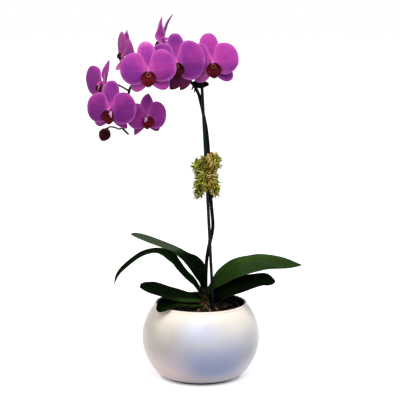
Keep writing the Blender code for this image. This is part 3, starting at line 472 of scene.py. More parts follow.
class Nodes:
    """Adds nodes to a shader tree or a geometry tree."""

    def __init__(self, tree):
        self.tree = tree

    def plug(self, socket, value):
        if isinstance(value, Wire):
            self.tree.links.new(value.socket, socket)
        else:
            socket.default_value = rgba(value) if socket.type == "RGBA" else value

    def add(self, kind, settings=None, inputs=None, out=0):
        """Adds a node: its settings first, then the values or links of its sockets. Returns one output."""
        node = self.tree.nodes.new(kind)
        for name, value in (settings or {}).items():
            if name == "stops":
                points = node.color_ramp.elements
                while len(points) < len(value):
                    points.new(1.0)
                for point, (position, colour) in zip(points, value):
                    point.position = position
                    point.color = rgba(colour)
            else:
                setattr(node, name, value)
        for key, value in (inputs or {}).items():
            self.plug(self.find(node.inputs, key), value)
        return Wire(self, self.find(node.outputs, out))

    def between(self, value, low, high, start=0.0, end=1.0):
        """A smooth step of a value from low to high."""
        settings = {"interpolation_type": "SMOOTHSTEP"}
        limits = {"Value": value, "From Min": low, "From Max": high, "To Min": start, "To Max": end}
        return self.add("ShaderNodeMapRange", settings, limits, "Result")

    def vector(self, operation, first, second):
        """A sum, difference or product of vectors, or a vector scaled by a number."""
        key = "Scale" if operation == "SCALE" else 1
        return self.add("ShaderNodeVectorMath", {"operation": operation}, {0: first, key: second}, "Vector")

    def chance(self, seed, low=0.0, high=1.0):
        """A random number, or a random vector between two corners, that differs from point to point."""
        if isinstance(low, tuple):
            limits = {"Min": low, "Max": high, "Seed": seed}
            return self.add("FunctionNodeRandomValue", {"data_type": "FLOAT_VECTOR"}, limits, "Value")
        # A single number goes in at sockets 2 and 3 and comes out at socket 1.
        limits = {2: low, 3: high, "Seed": seed}
        return self.add("FunctionNodeRandomValue", {"data_type": "FLOAT"}, limits, 1)

    @staticmethod
    def find(sockets, key):
        """A socket by place, by identifier or by name."""
        if isinstance(key, int):
            return sockets[key]
        for socket in sockets:
            if socket.identifier == key:
                return socket
        return sockets[key]


NOISE_ROUGHNESS = 0.55
MATT_IOR = 1.02  # of skins that hardly reflect


class Look(Nodes):
    """One material: constants on the shader's own sockets, patterns linked to a few of them."""

    def __init__(self, name, **constants):
        self.material = bpy.data.materials.new(name)
        self.material.use_nodes = True
        super().__init__(self.material.node_tree)
        self.shader = self.tree.nodes["Principled BSDF"]
        for key, value in constants.items():
            self.plug(self.shader.inputs[key.replace("_", " ").title().replace("Ior", "IOR")], value)
        self.skin = Wire(self, self.shader.outputs["BSDF"])
        self.place = self.add("ShaderNodeTexCoord", out="Object")

    def wear(self, colour, roughness=None, relief=None, depth=0.0):
        """Takes a colour, a roughness and a relief whose value 1 stands so many millimetres high."""
        self.plug(self.shader.inputs["Base Color"], colour)
        if roughness is not None:
            self.plug(self.shader.inputs["Roughness"], roughness)
        if relief is not None:
            values = {"Height": relief, "Distance": depth * MM, "Strength": 1.0}
            self.plug(self.shader.inputs["Normal"], self.add("ShaderNodeBump", inputs=values, out="Normal"))
        return self

    def surface(self, shader):
        """Puts another shader in the place of the material's own."""
        self.plug(self.tree.nodes["Material Output"].inputs["Surface"], shader)

    def attribute(self, name):
        return self.add("ShaderNodeAttribute", {"attribute_name": name}, out="Fac")

    def noise(self, scale, detail, stretch=None):
        where = self.vector("MULTIPLY", self.place, stretch) if stretch else self.place
        values = {"Vector": where, "Scale": scale, "Detail": detail, "Roughness": NOISE_ROUGHNESS}
        return self.add("ShaderNodeTexNoise", inputs=values)

    def cells(self, scale):
        values = {"Vector": self.place, "Scale": scale}
        return self.add("ShaderNodeTexVoronoi", inputs=values, out="Distance")

    def axis(self, name):
        return self.add("ShaderNodeSeparateXYZ", inputs={0: self.place}, out=name)

    def window(self, value, low, rise, fall, high):
        """1 from rise to fall, easing to 0 at low and at high."""
        return self.between(value, high, fall) * self.between(value, low, rise)

    def mix(self, factor, first, second):
        inputs = {"Factor_Float": factor, "A_Color": first, "B_Color": second}
        return self.add("ShaderNodeMix", {"data_type": "RGBA", "clamp_factor": True}, inputs, "Result_Color")

    def tinted(self, colour, *layers):
        """A colour under layers, each a share and a colour, laid on in order."""
        for share, tint in layers:
            colour = self.mix(share, colour, tint)
        return colour

    def ramp(self, value, *stops):
        return self.add("ShaderNodeValToRGB", {"stops": stops}, {0: value}, "Color")


def seen_ray(nodes):
    """1 for rays that show the background: straight, reflected or refracted."""
    straight = nodes.add("ShaderNodeLightPath", out="Is Camera Ray")
    glossy = Wire(nodes, straight.socket.node.outputs["Is Glossy Ray"])
    refracted = Wire(nodes, straight.socket.node.outputs["Is Transmission Ray"])
    return (straight + glossy + refracted).held()


# ---------------------------------------------------------------- shapes


def smooth_path(stations, steps):
    """Catmull-Rom samples through rows of numbers, ends included."""
    rows = np.array([tuple(stations[0]), *[tuple(s) for s in stations], tuple(stations[-1])], dtype=float)
    samples = []
    for i in range(1, len(rows) - 2):
        p, q, r, s = rows[i - 1 : i + 3]
        for k in range(steps):
            u = k / steps
            slope = (r - p) * u
            square = (2 * p - 5 * q + 4 * r - s) * u**2
            cube = (3 * q - p - 3 * r + s) * u**3
            samples.append(q + (slope + square + cube) / 2)
    samples.append(rows[-1])
    return np.array(samples)


def unit(vectors):
    lengths = np.linalg.norm(vectors, axis=-1, keepdims=True)
    return vectors / np.maximum(lengths, 1e-9)


def step_between(value, low, high):
    share = np.clip((value - low) / (high - low), 0.0, 1.0)
    return share * share * (3 - 2 * share)


def heading(degrees):
    """The level direction at an angle from +X."""
    return np.array((math.cos(math.radians(degrees)), math.sin(math.radians(degrees)), 0.0))


def strap(spine, across, half, t, lift):
    """A grid along a spine, t times the half width to each side, raised by the lift; and the normals."""
    along = unit(np.gradient(spine, axis=0))
    side = unit(across)
    side = unit(side - along * np.sum(along * side, axis=1, keepdims=True))
    normal = np.cross(side, along)
    flat = spine[:, None] + side[:, None] * (t * half[:, None])[..., None]
    return flat + normal[:, None] * lift[..., None], normal


class Shell:
    """Collects the closed surfaces of one piece, in millimetres, with the attributes its material reads."""

    def __init__(self):
        self.points = []
        self.faces = []
        self.attributes = {}
        self.count = 0

    def put(self, points, faces, **attributes):
        points = np.asarray(points, dtype=float).reshape(-1, 3)
        for name in sorted({*attributes, *self.attributes}):
            values = attributes.get(name, 0.0)
            column = np.broadcast_to(np.asarray(values, dtype=float).reshape(-1), (len(points),))
            earlier = self.attributes.setdefault(name, [np.zeros(self.count)] if self.count else [])
            earlier.append(column)
        self.points.append(points)
        self.faces += [tuple(self.count + k for k in face) for face in faces]
        self.count += len(points)

    def sheet(self, surface, thickness, facing=None, **attributes):
        """A closed sheet about a (rows, columns, 3) grid; given a facing, "back" marks its other side."""
        rows, columns = surface.shape[:2]
        normal = unit(np.cross(np.gradient(surface, axis=1), np.gradient(surface, axis=0)))
        half = np.asarray(thickness)[..., None] / 2 * np.ones((rows, columns, 1))
        first = (surface + normal * half).reshape(-1, 3)
        second = (surface - normal * half).reshape(-1, 3)
        back = rows * columns
        cells = [i * columns + j for i in range(rows - 1) for j in range(columns - 1)]
        faces = [(a, a + 1, a + columns + 1, a + columns) for a in cells]
        faces += [tuple(back + k for k in reversed(face)) for face in list(faces)]
        edge = list(range(columns)) + [i * columns + columns - 1 for i in range(1, rows)]
        edge += [(rows - 1) * columns + j for j in range(columns - 2, -1, -1)]
        edge += [i * columns for i in range(rows - 2, 0, -1)]
        faces += [(a, a + back, b + back, b) for a, b in zip(edge, edge[1:] + edge[:1])]
        doubled = {}
        for name, values in attributes.items():
            doubled[name] = np.tile(np.broadcast_to(values, (rows, columns)).reshape(-1), 2)
        if facing is not None:
            behind = (first - second).mean(axis=0) @ facing < 0
            doubled["back"] = np.repeat((1.0, 0.0) if behind else (0.0, 1.0), back)
        self.put(np.concatenate([first, second]), faces, **doubled)

    def rings(self, points, sides, closed=False, ends=(), **attributes):
        """Rings of points in order, joined into a loop if closed, otherwise capped at two end points."""
        count = len(points) // sides
        faces = []
        for i in range(count if closed else count - 1):
            for k in range(sides):
                a, b = i * sides, (i + 1) % count * sides
                n = (k + 1) % sides
                faces.append((a + k, a + n, b + n, b + k))
        if not closed:
            cap, last = count * sides, (count - 1) * sides
            faces += [(cap, (k + 1) % sides, k) for k in range(sides)]
            faces += [(cap + 1, last + k, last + (k + 1) % sides) for k in range(sides)]
            points = np.concatenate([points, ends])
        spread = {}
        for name, values in attributes.items():
            column = np.broadcast_to(np.asarray(values, dtype=float), (count,))
            tips = [] if closed else [column[0], column[-1]]
            spread[name] = np.concatenate([np.repeat(column, sides), tips])
        self.put(points, faces, **spread)

    def tube(self, path, radii, sides, squash=1.0, ripple=None, **attributes):
        """A tube along points with closed, rounded ends; ripple(turn, index) scales the radius."""
        path = np.asarray(path, dtype=float)
        radii = np.broadcast_to(np.asarray(radii, dtype=float), (len(path),))
        tangent = unit(np.gradient(path, axis=0))
        side = None
        points = []
        for i, centre in enumerate(path):
            guess = side if side is not None else np.cross(tangent[i], (0.31, 0.87, 0.38))
            side = unit(guess - tangent[i] * np.dot(guess, tangent[i]))
            other = np.cross(tangent[i], side)
            for k in range(sides):
                turn = TURN * k / sides
                reach = radii[i] * (ripple(turn, i) if ripple else 1.0)
                points.append(centre + (side * math.cos(turn) + other * math.sin(turn) * squash) * reach)
        domes = [path[0] - tangent[0] * radii[0] * END_DOME, path[-1] + tangent[-1] * radii[-1] * END_DOME]
        self.rings(points, sides, ends=domes, **attributes)

    def strand(self, stations, steps, sides, **attributes):
        """A tube on a smooth curve through stations (x, y, z, radius)."""
        route = smooth_path(stations, steps)
        self.tube(route[:, :3], route[:, 3], sides, **attributes)

    def turned(self, profile, sides, closed=False, **attributes):
        """A solid of revolution about Z from (radius, z) points; its ends meet the axis unless closed."""
        turns = TURN * np.arange(sides) / sides
        ring = np.stack([np.cos(turns), np.sin(turns)], axis=-1)
        points = np.concatenate([np.column_stack([ring * r, np.full(sides, z)]) for r, z in profile])
        poles = [(0.0, 0.0, profile[0][1]), (0.0, 0.0, profile[-1][1])]
        self.rings(points, sides, closed, poles, **attributes)

    def mesh(self, name, sharp=50):
        mesh = bpy.data.meshes.new(name)
        mesh.from_pydata((np.concatenate(self.points) * MM).tolist(), [], self.faces)
        for key, columns in self.attributes.items():
            mesh.attributes.new(key, "FLOAT", "POINT").data.foreach_set("value", np.concatenate(columns))
        shell = bmesh.new()
        shell.from_mesh(mesh)
        bmesh.ops.recalc_face_normals(shell, faces=shell.faces)
        shell.to_mesh(mesh)
        shell.free()
        mesh.shade_smooth()
        mesh.set_sharp_from_angle(angle=math.radians(sharp))
        return mesh

    def piece(self, name, look, slot, replaces, sharp=50):
        mesh = self.mesh(name, sharp)
        mesh.materials.append(look.material)
        settle(bpy.data.objects.new(name, mesh), replaces)


def settle(piece, replaces=()):
    """Links a finished piece and hangs it on the plant's one body."""
    bpy.context.scene.collection.objects.link(piece)
    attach(piece, "root")
    if replaces:
        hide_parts(*replaces)


def grow(name, base, tree, values):
    """Runs a geometry tree on a mesh and settles the result as a plain piece."""
    carrier = bpy.data.objects.new(f"{name}_carrier", base)
    bpy.context.scene.collection.objects.link(carrier)
    modifier = carrier.modifiers.new(name, "NODES")
    modifier.node_group = tree
    for item in tree.interface.items_tree:
        if item.item_type == "SOCKET" and item.in_out == "INPUT" and item.name in values:
            modifier[item.identifier] = values[item.name]
    graph = bpy.context.evaluated_depsgraph_get()
    mesh = bpy.data.meshes.new_from_object(carrier.evaluated_get(graph), depsgraph=graph)
    mesh.name = name
    bpy.data.objects.remove(carrier, do_unlink=True)
    settle(bpy.data.objects.new(name, mesh))


def geometry_tree(name, inputs):
    """An empty geometry tree with named inputs and their defaults."""
    tree = bpy.data.node_groups.new(name, "GeometryNodeTree")
    tree.interface.new_socket("Geometry", in_out="INPUT", socket_type="NodeSocketGeometry")
    for label, default in inputs.items():
        kind = "NodeSocketInt" if isinstance(default, int) else "NodeSocketFloat"
        tree.interface.new_socket(label, in_out="INPUT", socket_type=kind).default_value = default
    tree.interface.new_socket("Geometry", in_out="OUTPUT", socket_type="NodeSocketGeometry")
    nodes = Nodes(tree)
    source = tree.nodes.new("NodeGroupInput")
    return nodes, lambda label: Wire(nodes, source.outputs[label])


def shaken(nodes, instances, seed, scale, detail, amount):
    """Gives each instance a shade of its own, makes it real and moves its points by a noise."""
    named = nodes.add(
        "GeometryNodeStoreNamedAttribute",
        {"data_type": "FLOAT", "domain": "INSTANCE"},
        {"Geometry": instances, "Name": "shade", "Value": nodes.chance(seed)},
    )
    real = nodes.add("GeometryNodeRealizeInstances", inputs={0: named})
    noise = nodes.add("ShaderNodeTexNoise", inputs={"Scale": scale, "Detail": detail}, out="Color")
    centred = nodes.vector("SUBTRACT", noise, (0.5, 0.5, 0.5))
    shift = nodes.vector("SCALE", centred, amount)
    return nodes.add("GeometryNodeSetPosition", inputs={"Geometry": real, "Offset": shift})


def end_tree(nodes, geometry, look):
    """Ends a geometry tree, with instances made real and the material set, and returns it."""
    real = nodes.add("GeometryNodeRealizeInstances", inputs={0: geometry})
    dressed = nodes.add("GeometryNodeSetMaterial", inputs={"Geometry": real, "Material": look.material})
    output = nodes.tree.nodes.new("NodeGroupOutput")
    nodes.plug(output.inputs[0], dressed)
    return nodes.tree


# ---------------------------------------------------------------- looks


def glaze_look(settings):
    """Glaze: cream under the rim, with painted light and shade: greyer towards the bottom, painted bluish
    reflections and a painted bluish highlight at the front, painted shade at the left and right, painted
    warm light low at the left, painted shadow on the bare foot and painted shade inside.
    """
    look = Look("pearl_glaze", coat_weight=0.3, coat_roughness=0.18)
    x, y, z = (look.axis(name) for name in "XYZ")
    drift = (look.noise(9.0, 2.0) - 0.5) * 0.03
    height = z + drift
    aside = x + drift
    front = look.between(y, 0.02, -0.05)
    # Painted shade: a greenish grey over the middle of the left side.
    left_shade = look.between(aside, 0.0, -0.06) * look.window(z, 0.040, 0.062, 0.100, 0.124)
    # Painted shade: the glaze greys towards the bottom.
    low = look.mix(look.between(height, 0.092, 0.055), settings.glaze_colour, "d3d4d8")
    low = look.mix(left_shade * 0.8, low, "c6c0b0")
    # Painted reflection: lilac-blue low at the front.
    blue_reflection = look.window(height, 0.010, 0.032, 0.048, 0.095) * look.between(aside, -0.075, 0.0)
    # Painted reflection: a deeper blue pool low at the front, above the foot.
    deep_reflection = look.between(height, 0.062, 0.034) * look.between(z, 0.011, 0.028)
    # Painted highlight: a bluish-white band under the rim at the front.
    blue_highlight = look.window(height, 0.070, 0.088, 0.098, 0.114) * look.between(aside, -0.055, -0.015)
    body = look.tinted(
        look.mix(look.between(z, 0.08, 0.118), low, "fff6e4"),
        (blue_reflection * look.between(x, 0.085, 0.05) * front * 0.85, settings.glaze_reflection_colour),
        (deep_reflection * look.between(aside, -0.058, 0.018) * look.between(x, 0.074, 0.035) * front * 0.6, "86a4d4"),
        (blue_highlight * look.between(x, 0.06, 0.0) * front * 0.6, "cfdcf8"),
        # Painted shade on the right side.
        (look.between(x, 0.055, 0.088) * look.window(z, 0.035, 0.055, 0.075, 0.105) * 0.4, "aeb4ba"),
        # Painted warm light low at the left.
        (look.between(z, 0.075, 0.02) * look.between(x, 0.0, -0.05) * 0.6, "fbe8dc"),
        (look.between(look.noise(420.0, 2.0), 0.66, 0.74) * 0.12, "cfc4b4"),
    )
    bare = look.attribute("bare")
    grain = look.noise(300.0, 3.0)
    # The bare foot is darkened by painted shadow; the inside is painted near black as shade.
    dark = look.mix(look.between(z, 0.012, 0.009), look.mix(grain, "08080a", "18181b"), "44485e")
    gloss = 0.26 + 0.1 * look.noise(35.0, 2.0) + 0.4 * bare
    look.wear(look.mix(bare, body, dark), gloss, look.noise(55.0, 2.0) + bare * grain * 0.5, 0.12)
    plain = {"Base Color": dark, "Roughness": 0.7, "IOR": MATT_IOR}
    matt = look.add("ShaderNodeBsdfPrincipled", inputs=plain, out="BSDF")
    inside = bare * look.between(z, 0.03, 0.05)
    look.surface(look.add("ShaderNodeMixShader", inputs={0: inside, 1: look.skin, 2: matt}))
    return look


def liner_look():
    """Moulded black plastic with a faint grain and a dusty bloom."""
    look = Look("liner_plastic", specular_ior_level=0.01)
    dust = look.between(look.noise(60.0, 4.0), 0.5, 0.75)
    body = look.mix(dust * 0.5, "030303", "0c0c0b")
    return look.wear(body, 0.42 + 0.25 * dust, look.noise(900.0, 2.0), 0.05)


def bark_look(name, dark, mid, light, attribute=None):
    """Bark: streaked fibres in darker and lighter patches, with a few pale flakes."""
    look = Look(name, specular_ior_level=0.12)
    streaks = look.noise(260.0, 4.0, stretch=(1.0, 0.35, 2.0))
    tint = look.attribute(attribute) if attribute else look.noise(70.0, 2.0)
    body = look.ramp((0.6 * tint + 0.55 * streaks).held(), (0.22, dark), (0.55, mid), (0.82, light))
    flakes = look.between(look.noise(420.0, 2.0), 0.69, 0.74)
    return look.wear(look.mix(flakes * 0.5, body, "b9a483"), 0.78 + 0.2 * streaks, streaks, 0.5)


def root_look():
    """Crown and roots: olive and tan skin with scaly rings; the olive is near black, partly as painted shade
    under the leaves.
    """
    look = Look("crown_skin", specular_ior_level=0.05)
    scales = look.noise(190.0, 4.0, stretch=(1.0, 1.0, 2.6))
    tan = look.ramp(scales, (0.32, "0e0a05"), (0.52, "463620"), (0.68, "bc9a68"))
    # The olive crown is near black, partly its own colour and partly painted shade under the leaves.
    olive = look.ramp(scales, (0.35, "040502"), (0.55, "101107"), (0.72, "4a4222"))
    body = look.mix(look.between(look.axis("Z"), 0.120, 0.131), tan, olive)
    return look.wear(body, 0.6 + 0.3 * scales, scales, 0.7)


def leaf_look(settings):
    """Thick waxy leaf: parallel veins, a sunken midrib, mottling, a paler underside partly greyed as a
    painted sheen; painted shade on the blades' upper halves and on leaves in shadow, and a painted grey
    sheen where a leaf catches light.
    """
    look = Look("waxy_leaf", ior=MATT_IOR)
    across = look.attribute("across")
    dusk = look.attribute("dusk")
    veins = (across * 46.0 + look.noise(30.0, 2.0) * 2.0).sine() * 0.5 + 0.5
    mottle = look.noise(38.0, 4.0)
    shade = 0.75 * mottle + 0.12 * veins + 0.1
    rib = 1.0 - look.between(across.size(), 0.0, 0.045)
    body = look.tinted(
        look.ramp(shade, (0.25, settings.leaf_dark), (0.62, settings.leaf_light)),
        # Painted shade: the upper half of each blade darker.
        (look.between(across, 0.0, 0.3) * 0.45, "1c2b17"),
        # Painted shade: near black where a leaf sits in shadow.
        (dusk, look.ramp(shade, (0.25, "020402"), (0.65, "091406"))),
        # Painted sheen: a grey where a leaf catches light.
        (look.between(dusk, 0.0, -0.5) * 0.5, "6a7064"),
        (look.between(across.size(), 0.93, 1.0) * 0.4, "3a4020"),
        (rib * 0.7, "0a1206"),
        (look.between(look.attribute("along"), 0.10, 0.0) * 0.4, "2e3a1c"),
        # A paler underside, its grey partly a painted sheen.
        (look.attribute("back") * look.between(dusk, 0.5, 0.0) * 0.6, "5a6054"),
    )
    return look.wear(body, 0.42 + 0.14 * mottle, veins * 0.3 + mottle * 0.7 - rib, 0.22)


def stem_look():
    """Spike and stalks: dark green with a maroon flush and pale lenticels."""
    look = Look("spike_skin", specular_ior_level=0.04)
    mottle = look.noise(90.0, 4.0, stretch=(1.0, 1.0, 0.35))
    green = look.ramp(mottle, (0.3, "020402"), (0.7, "0c130a"))
    flush = look.ramp(mottle, (0.3, "030202"), (0.7, "100c0a"))
    body = look.mix(look.between(look.axis("Z"), 0.40, 0.48), green, flush)
    pores = look.between(look.cells(420.0), 0.12, 0.05)
    return look.wear(look.mix(pores * 0.2, body, "33382a"), 0.4 + 0.2 * mottle, mottle, 0.2)


def stake_look():
    """Plastic-coated rod: dark teal with rubbed, paler streaks."""
    look = Look("stake_coating", specular_ior_level=0.08)
    rub = look.noise(60.0, 4.0, stretch=(3.0, 3.0, 0.5))
    body = look.ramp(rub, (0.35, "04090b"), (0.7, "10222a"))
    return look.wear(body, 0.3 + 0.25 * rub, look.noise(240.0, 2.0, stretch=(1.0, 1.0, 3.0)), 0.12)


def clip_look():
    """Black moulded plastic with a fine grain."""
    look = Look("clip_plastic", specular_ior_level=0.03)
    grain = look.noise(500.0, 3.0)
    return look.wear(look.ramp(grain, (0.3, "010101"), (0.7, "080a09")), 0.38 + 0.2 * grain, grain, 0.06)


def moss_look(settings):
    """Dry moss: olive at the left, ochre at the right, each strand its own shade, with painted shade in the
    parting between the tufts.
    """
    look = Look("dry_moss", roughness=0.95, specular_ior_level=0.15)
    clump = look.between(look.noise(190.0, 3.0), 0.36, 0.64)
    shade = (0.45 * look.attribute("shade") + 0.55 * clump).held()
    x = look.axis("X") + (look.noise(60.0, 2.0) - 0.5) * 0.03
    z = look.axis("Z")
    side = look.window(x, 0.004, 0.012, 0.014, 0.030)
    green = look.ramp(shade, (0.08, "525c0e"), (0.45, settings.moss_colour), (0.9, "dce470"))
    ochre = look.ramp(shade, (0.08, "64421a"), (0.45, "cca440"), (0.9, "f8e094"))
    # Painted shade in the parting between the two tufts.
    shade_between_tufts = look.between((x - 0.006).size(), 0.0045, 0.0015) * look.between(z, 0.332, 0.340)
    spot = look.between(((x - 0.009) ** 2.0 + (z - 0.323) ** 2.0) ** 0.5, 0.006, 0.003)
    body = look.mix(side * 0.85, green, ochre)
    return look.wear(look.tinted(body, (shade_between_tufts * 0.6, "231c0c"), (spot * 0.6, "4a2012")))


def moss_core_look():
    """The dark, clumped moss that lies under the strands."""
    look = Look("moss_shadow", roughness=1.0, specular_ior_level=0.0)
    clumps = look.noise(140.0, 4.0)
    return look.wear(look.ramp(clumps, (0.35, "1c1d0b"), (0.7, "5d5a22")), None, clumps, 2.0)


def twine_look():
    """Undyed plant fibre."""
    look = Look("natural_twine", roughness=0.9, specular_ior_level=0.2)
    fibre = look.noise(700.0, 3.0, stretch=(1.0, 1.0, 2.0))
    return look.wear(look.ramp(fibre, (0.3, "9a9058"), (0.7, "ded7a4")), None, fibre, 0.2)


def petal_look(name, settings):
    """Petals and sepals: branching veins over magenta, a paler rim, a paler back; the pink level also
    carries painted light and shade, with a painted maroon shade below 0 and a painted highlight above 1.05.
    """
    look = Look(name, specular_ior_level=0.15, sheen_weight=0.04, sheen_roughness=0.4)
    along = look.attribute("along")
    vein = look.attribute("vein")
    edge = look.attribute("edge")
    # The pink level holds the tepals' tone and also painted light and shade.
    pink = look.attribute("pink")
    cloud = look.between(look.noise(42.0, 3.0), 0.36, 0.64)
    wander = (look.noise(110.0, 3.0) - 0.5) * 1.1
    ribs = ((vein + wander) * math.pi).sine().size()
    twigs = ((vein * 3.0 + wander * 2.2) * math.pi).sine().size()
    patchy = look.between(look.noise(85.0, 2.0), 0.34, 0.62)
    strong = look.between(ribs, 0.36, 0.0) * look.between(along, 1.0, 0.7) * patchy
    faint = look.between(twigs, 0.6, 0.0) * look.between(along, 0.1, 0.5)
    lines = (strong * 0.7 + faint * 0.4).held()
    violet = look.between(look.noise(26.0, 2.0), 0.42, 0.6) * look.between(edge, 1.0, 9.0)
    # Painted shade: tepals that sit in shadow turn maroon.
    maroon_shade = look.between(pink, -0.1, -1.0)
    body = look.tinted(
        look.mix((pink + (cloud - 0.5) * 0.35).held(), settings.petal_deep, settings.petal_pink),
        (violet * 0.4, "762399"),
        (look.between(ribs, 0.6, 1.0) * 0.1, settings.petal_rim),
        (lines * 0.46, settings.petal_vein),
        (look.between(along, 0.26, 0.04) * 0.5, "dd62bd"),
        (look.between(edge, 7.0, 1.0) * 0.3, "d462c6"),
        (look.between(edge, 1.7, 0.4) * 0.7, settings.petal_rim),
        # Painted highlight where the pink level rises above 1.05.
        (look.between(pink, 1.05, 1.6) * 0.8, "e488c2"),
        (maroon_shade, settings.petal_shade_colour),
        (look.attribute("back") * (0.25 - 0.25 * maroon_shade), "a8529a"),
    )
    relief = cloud * 0.4 - lines * 0.8 + look.noise(1500.0, 2.0) * 0.2
    return look.wear(body, 0.5 + 0.15 * cloud, relief, 0.22)


def lip_look(settings):
    """Lip: crimson middle lobe, darker side lobes with bars and a pale root, a ringed brown callus, and
    painted shade that darkens the lip and its ring on flowers in shadow.
    """
    look = Look("lip_velvet", specular_ior_level=0.08)
    tint = look.attribute("tint")
    along = look.attribute("along")
    fleck = look.noise(420.0, 3.0)
    bars = look.between(((along + (fleck - 0.5) * 0.1) * 30.0).sine(), 0.1, 0.6)
    deep = look.mix(look.between(fleck, 0.42, 0.58), "4a0612", settings.lip_colour)
    crimson = look.mix(look.between(along, 0.25, 0.7), "50080f", deep)
    side = look.tinted("66101c", (bars * 0.6, "38060e"), (look.between(along, 0.3, 0.04) * 0.75, "b8609a"))
    callus = look.mix(look.between(fleck, 0.45, 0.55), "92503a", "5e1c1c")
    body = look.tinted(
        crimson,
        (look.between(tint, 0.15, 0.45), side),
        (look.between(tint, 0.6, 0.9), callus),
        # Painted shade: the lip and its ring darker on flowers that sit in shadow.
        (look.attribute("dim"), "1e0308"),
        (look.attribute("pale"), look.mix(bars * 0.5, "d492c4", "b0508c")),
    )
    return look.wear(body, 0.55 + 0.2 * fleck, fleck, 0.15)


def column_look(settings):
    """Stalk to anther: maroon-green stalk, magenta ovary and column, a pale anther cap."""
    look = Look("column_skin", specular_ior_level=0.05)
    tint = look.attribute("tint")
    mottle = look.noise(160.0, 3.0)
    body = look.tinted(
        look.ramp(mottle, (0.3, "2a2a18"), (0.7, "4f4030")),
        (look.between(tint, 0.1, 0.45), look.mix(mottle, "6e3156", "9a5484")),
        (look.between(tint, 0.5, 0.65), settings.column_colour),
        (look.between(tint, 0.8, 0.95) * 0.7, "cc6cb0"),
    )
    return look.wear(body, 0.5 + 0.15 * mottle, mottle, 0.15)


def bud_look():
    """Closed bud: maroon skin, green towards the stalk, with dark seams."""
    look = Look("bud_skin", specular_ior_level=0.05)
    seam = look.attribute("seam")
    mottle = look.noise(130.0, 4.0, stretch=(1.0, 1.0, 0.6))
    skin = look.ramp(mottle, (0.3, "180408"), (0.72, "4e0f1c"))
    green = look.ramp(mottle, (0.3, "3a2016"), (0.7, "83564a"))
    body = look.mix(look.between(look.attribute("along"), 0.42, 0.62), green, skin)
    return look.wear(look.mix(seam * 0.6, body, "1a070b"), 0.55 + 0.15 * mottle, mottle - seam, 0.25)


def floor_look(settings):
    """Pale to the eye, with the object's shadow and a painted contact shadow round the foot; under the bowl
    it throws back colours of its own.
    """
    look = Look("studio_floor", roughness=0.9, specular_ior_level=0.0)
    x, y = (look.axis(name) for name in "XY")
    far = (x * x + y * y) ** 0.5
    blue = look.between(((x - 0.1) ** 2.0 + (y + 0.5) ** 2.0) ** 0.5, 0.5, 0.25)
    bounce = look.tinted(
        look.mix(look.between(x, 0.0, -0.4), settings.floor_bounce, "b49a90"),
        (blue, "2c3a66"),
        (look.between(far, 0.22, 0.10), "ccbfbe"),
    )
    seen = seen_ray(look)
    look.wear(look.mix(seen, bounce, look.ramp(look.noise(2.0, 2.0) * 0.02 + 0.9, (0.0, 0.5), (1.0, 0.9))))
    # Painted contact shadow: the floor's glow dims in a thin ring round the foot.
    level = look.between(far, 0.061, 0.068, 0.25, 0.6) + look.between(far, 0.1, 0.4) * 0.2
    glow = look.add("ShaderNodeEmission", inputs={"Color": level + look.between(far, 1.0, 3.0) * 0.2})
    nothing = look.add("ShaderNodeEmission", inputs={"Color": 0.0, "Strength": 0.0})
    lit = look.add("ShaderNodeMixShader", inputs={0: seen, 1: nothing, 2: glow})
    look.surface(look.add("ShaderNodeAddShader", inputs={0: lit, 1: look.skin}))
    return look


# ---------------------------------------------------------------- pieces


def ellipse_arc(inset, start_z, end_z, steps):
    """(radius, z) points on the bowl's ellipse, moved in by the inset, between two heights."""
    radius = BOWL_RADIUS - inset
    half = BOWL_HALF_HEIGHT - inset
    start = math.asin((start_z - BOWL_CENTRE_Z) / half)
    end = math.asin((end_z - BOWL_CENTRE_Z) / half)
    turns = np.linspace(start, end, steps + 1)
    return [(radius * math.cos(turn), BOWL_CENTRE_Z + half * math.sin(turn)) for turn in turns]


def make_bowl(settings):
    """The bowl: a moulded foot, a bellied side, a rounded lip, and the wall and floor inside; the bare foot
    carries painted shadow and the inside painted shade.
    """
    foot = [
        (FOOT_RADIUS - 6.0, 1.2),
        (FOOT_RADIUS - 4.5, 0.3),
        (FOOT_RADIUS - 3.0, 0.0),
        (FOOT_RADIUS - 1.0, 0.0),
        (FOOT_RADIUS - 0.2, 0.4),
        (FOOT_RADIUS, 1.0),
        (FOOT_RADIUS, FOOT_HEIGHT - 0.6),
        (FOOT_RADIUS + 0.4, FOOT_HEIGHT + 0.1),
        (FOOT_RADIUS + 2.6, FOOT_HEIGHT + 0.4),
    ]
    side = ellipse_arc(0.0, FOOT_HEIGHT + 2.2, BOWL_RIM_Z - 3.0, 72)
    middle = side[-1][0] - 2.1
    lip = []
    for k in range(1, 12):
        turn = math.radians(15 + 150 * k / 12)
        height = BOWL_RIM_Z - BOWL_LIP_RISE * (1 - math.sin(turn))
        lip.append((middle + BOWL_LIP_REACH * math.cos(turn), height))
    inside = ellipse_arc(BOWL_WALL, BOWL_RIM_Z - 4.4, BOWL_FLOOR_Z + 4.0, 40)
    floor = [(56.5, BOWL_FLOOR_Z + 1.2), (54.0, BOWL_FLOOR_Z), (20.0, BOWL_FLOOR_Z)]
    shell = Shell()
    # Painted shade creeps over the inner edge of the lip.
    turned_in = list(np.linspace(0.0, 1.0, len(lip)) ** 2.5)
    # The bare foot carries painted shadow, fading out a little way up the side.
    faded = [1.0] * len(foot) + [0.75, 0.3, 0.05]
    bare = faded + [0.0] * (len(side) - 3) + turned_in + [1.0] * (len(inside) + len(floor))
    shell.turned(foot + side + lip + inside + floor, BOWL_SIDES, bare=bare)
    shell.piece("bowl_glazed", glaze_look(settings), "glaze", ["bowl"], sharp=70)


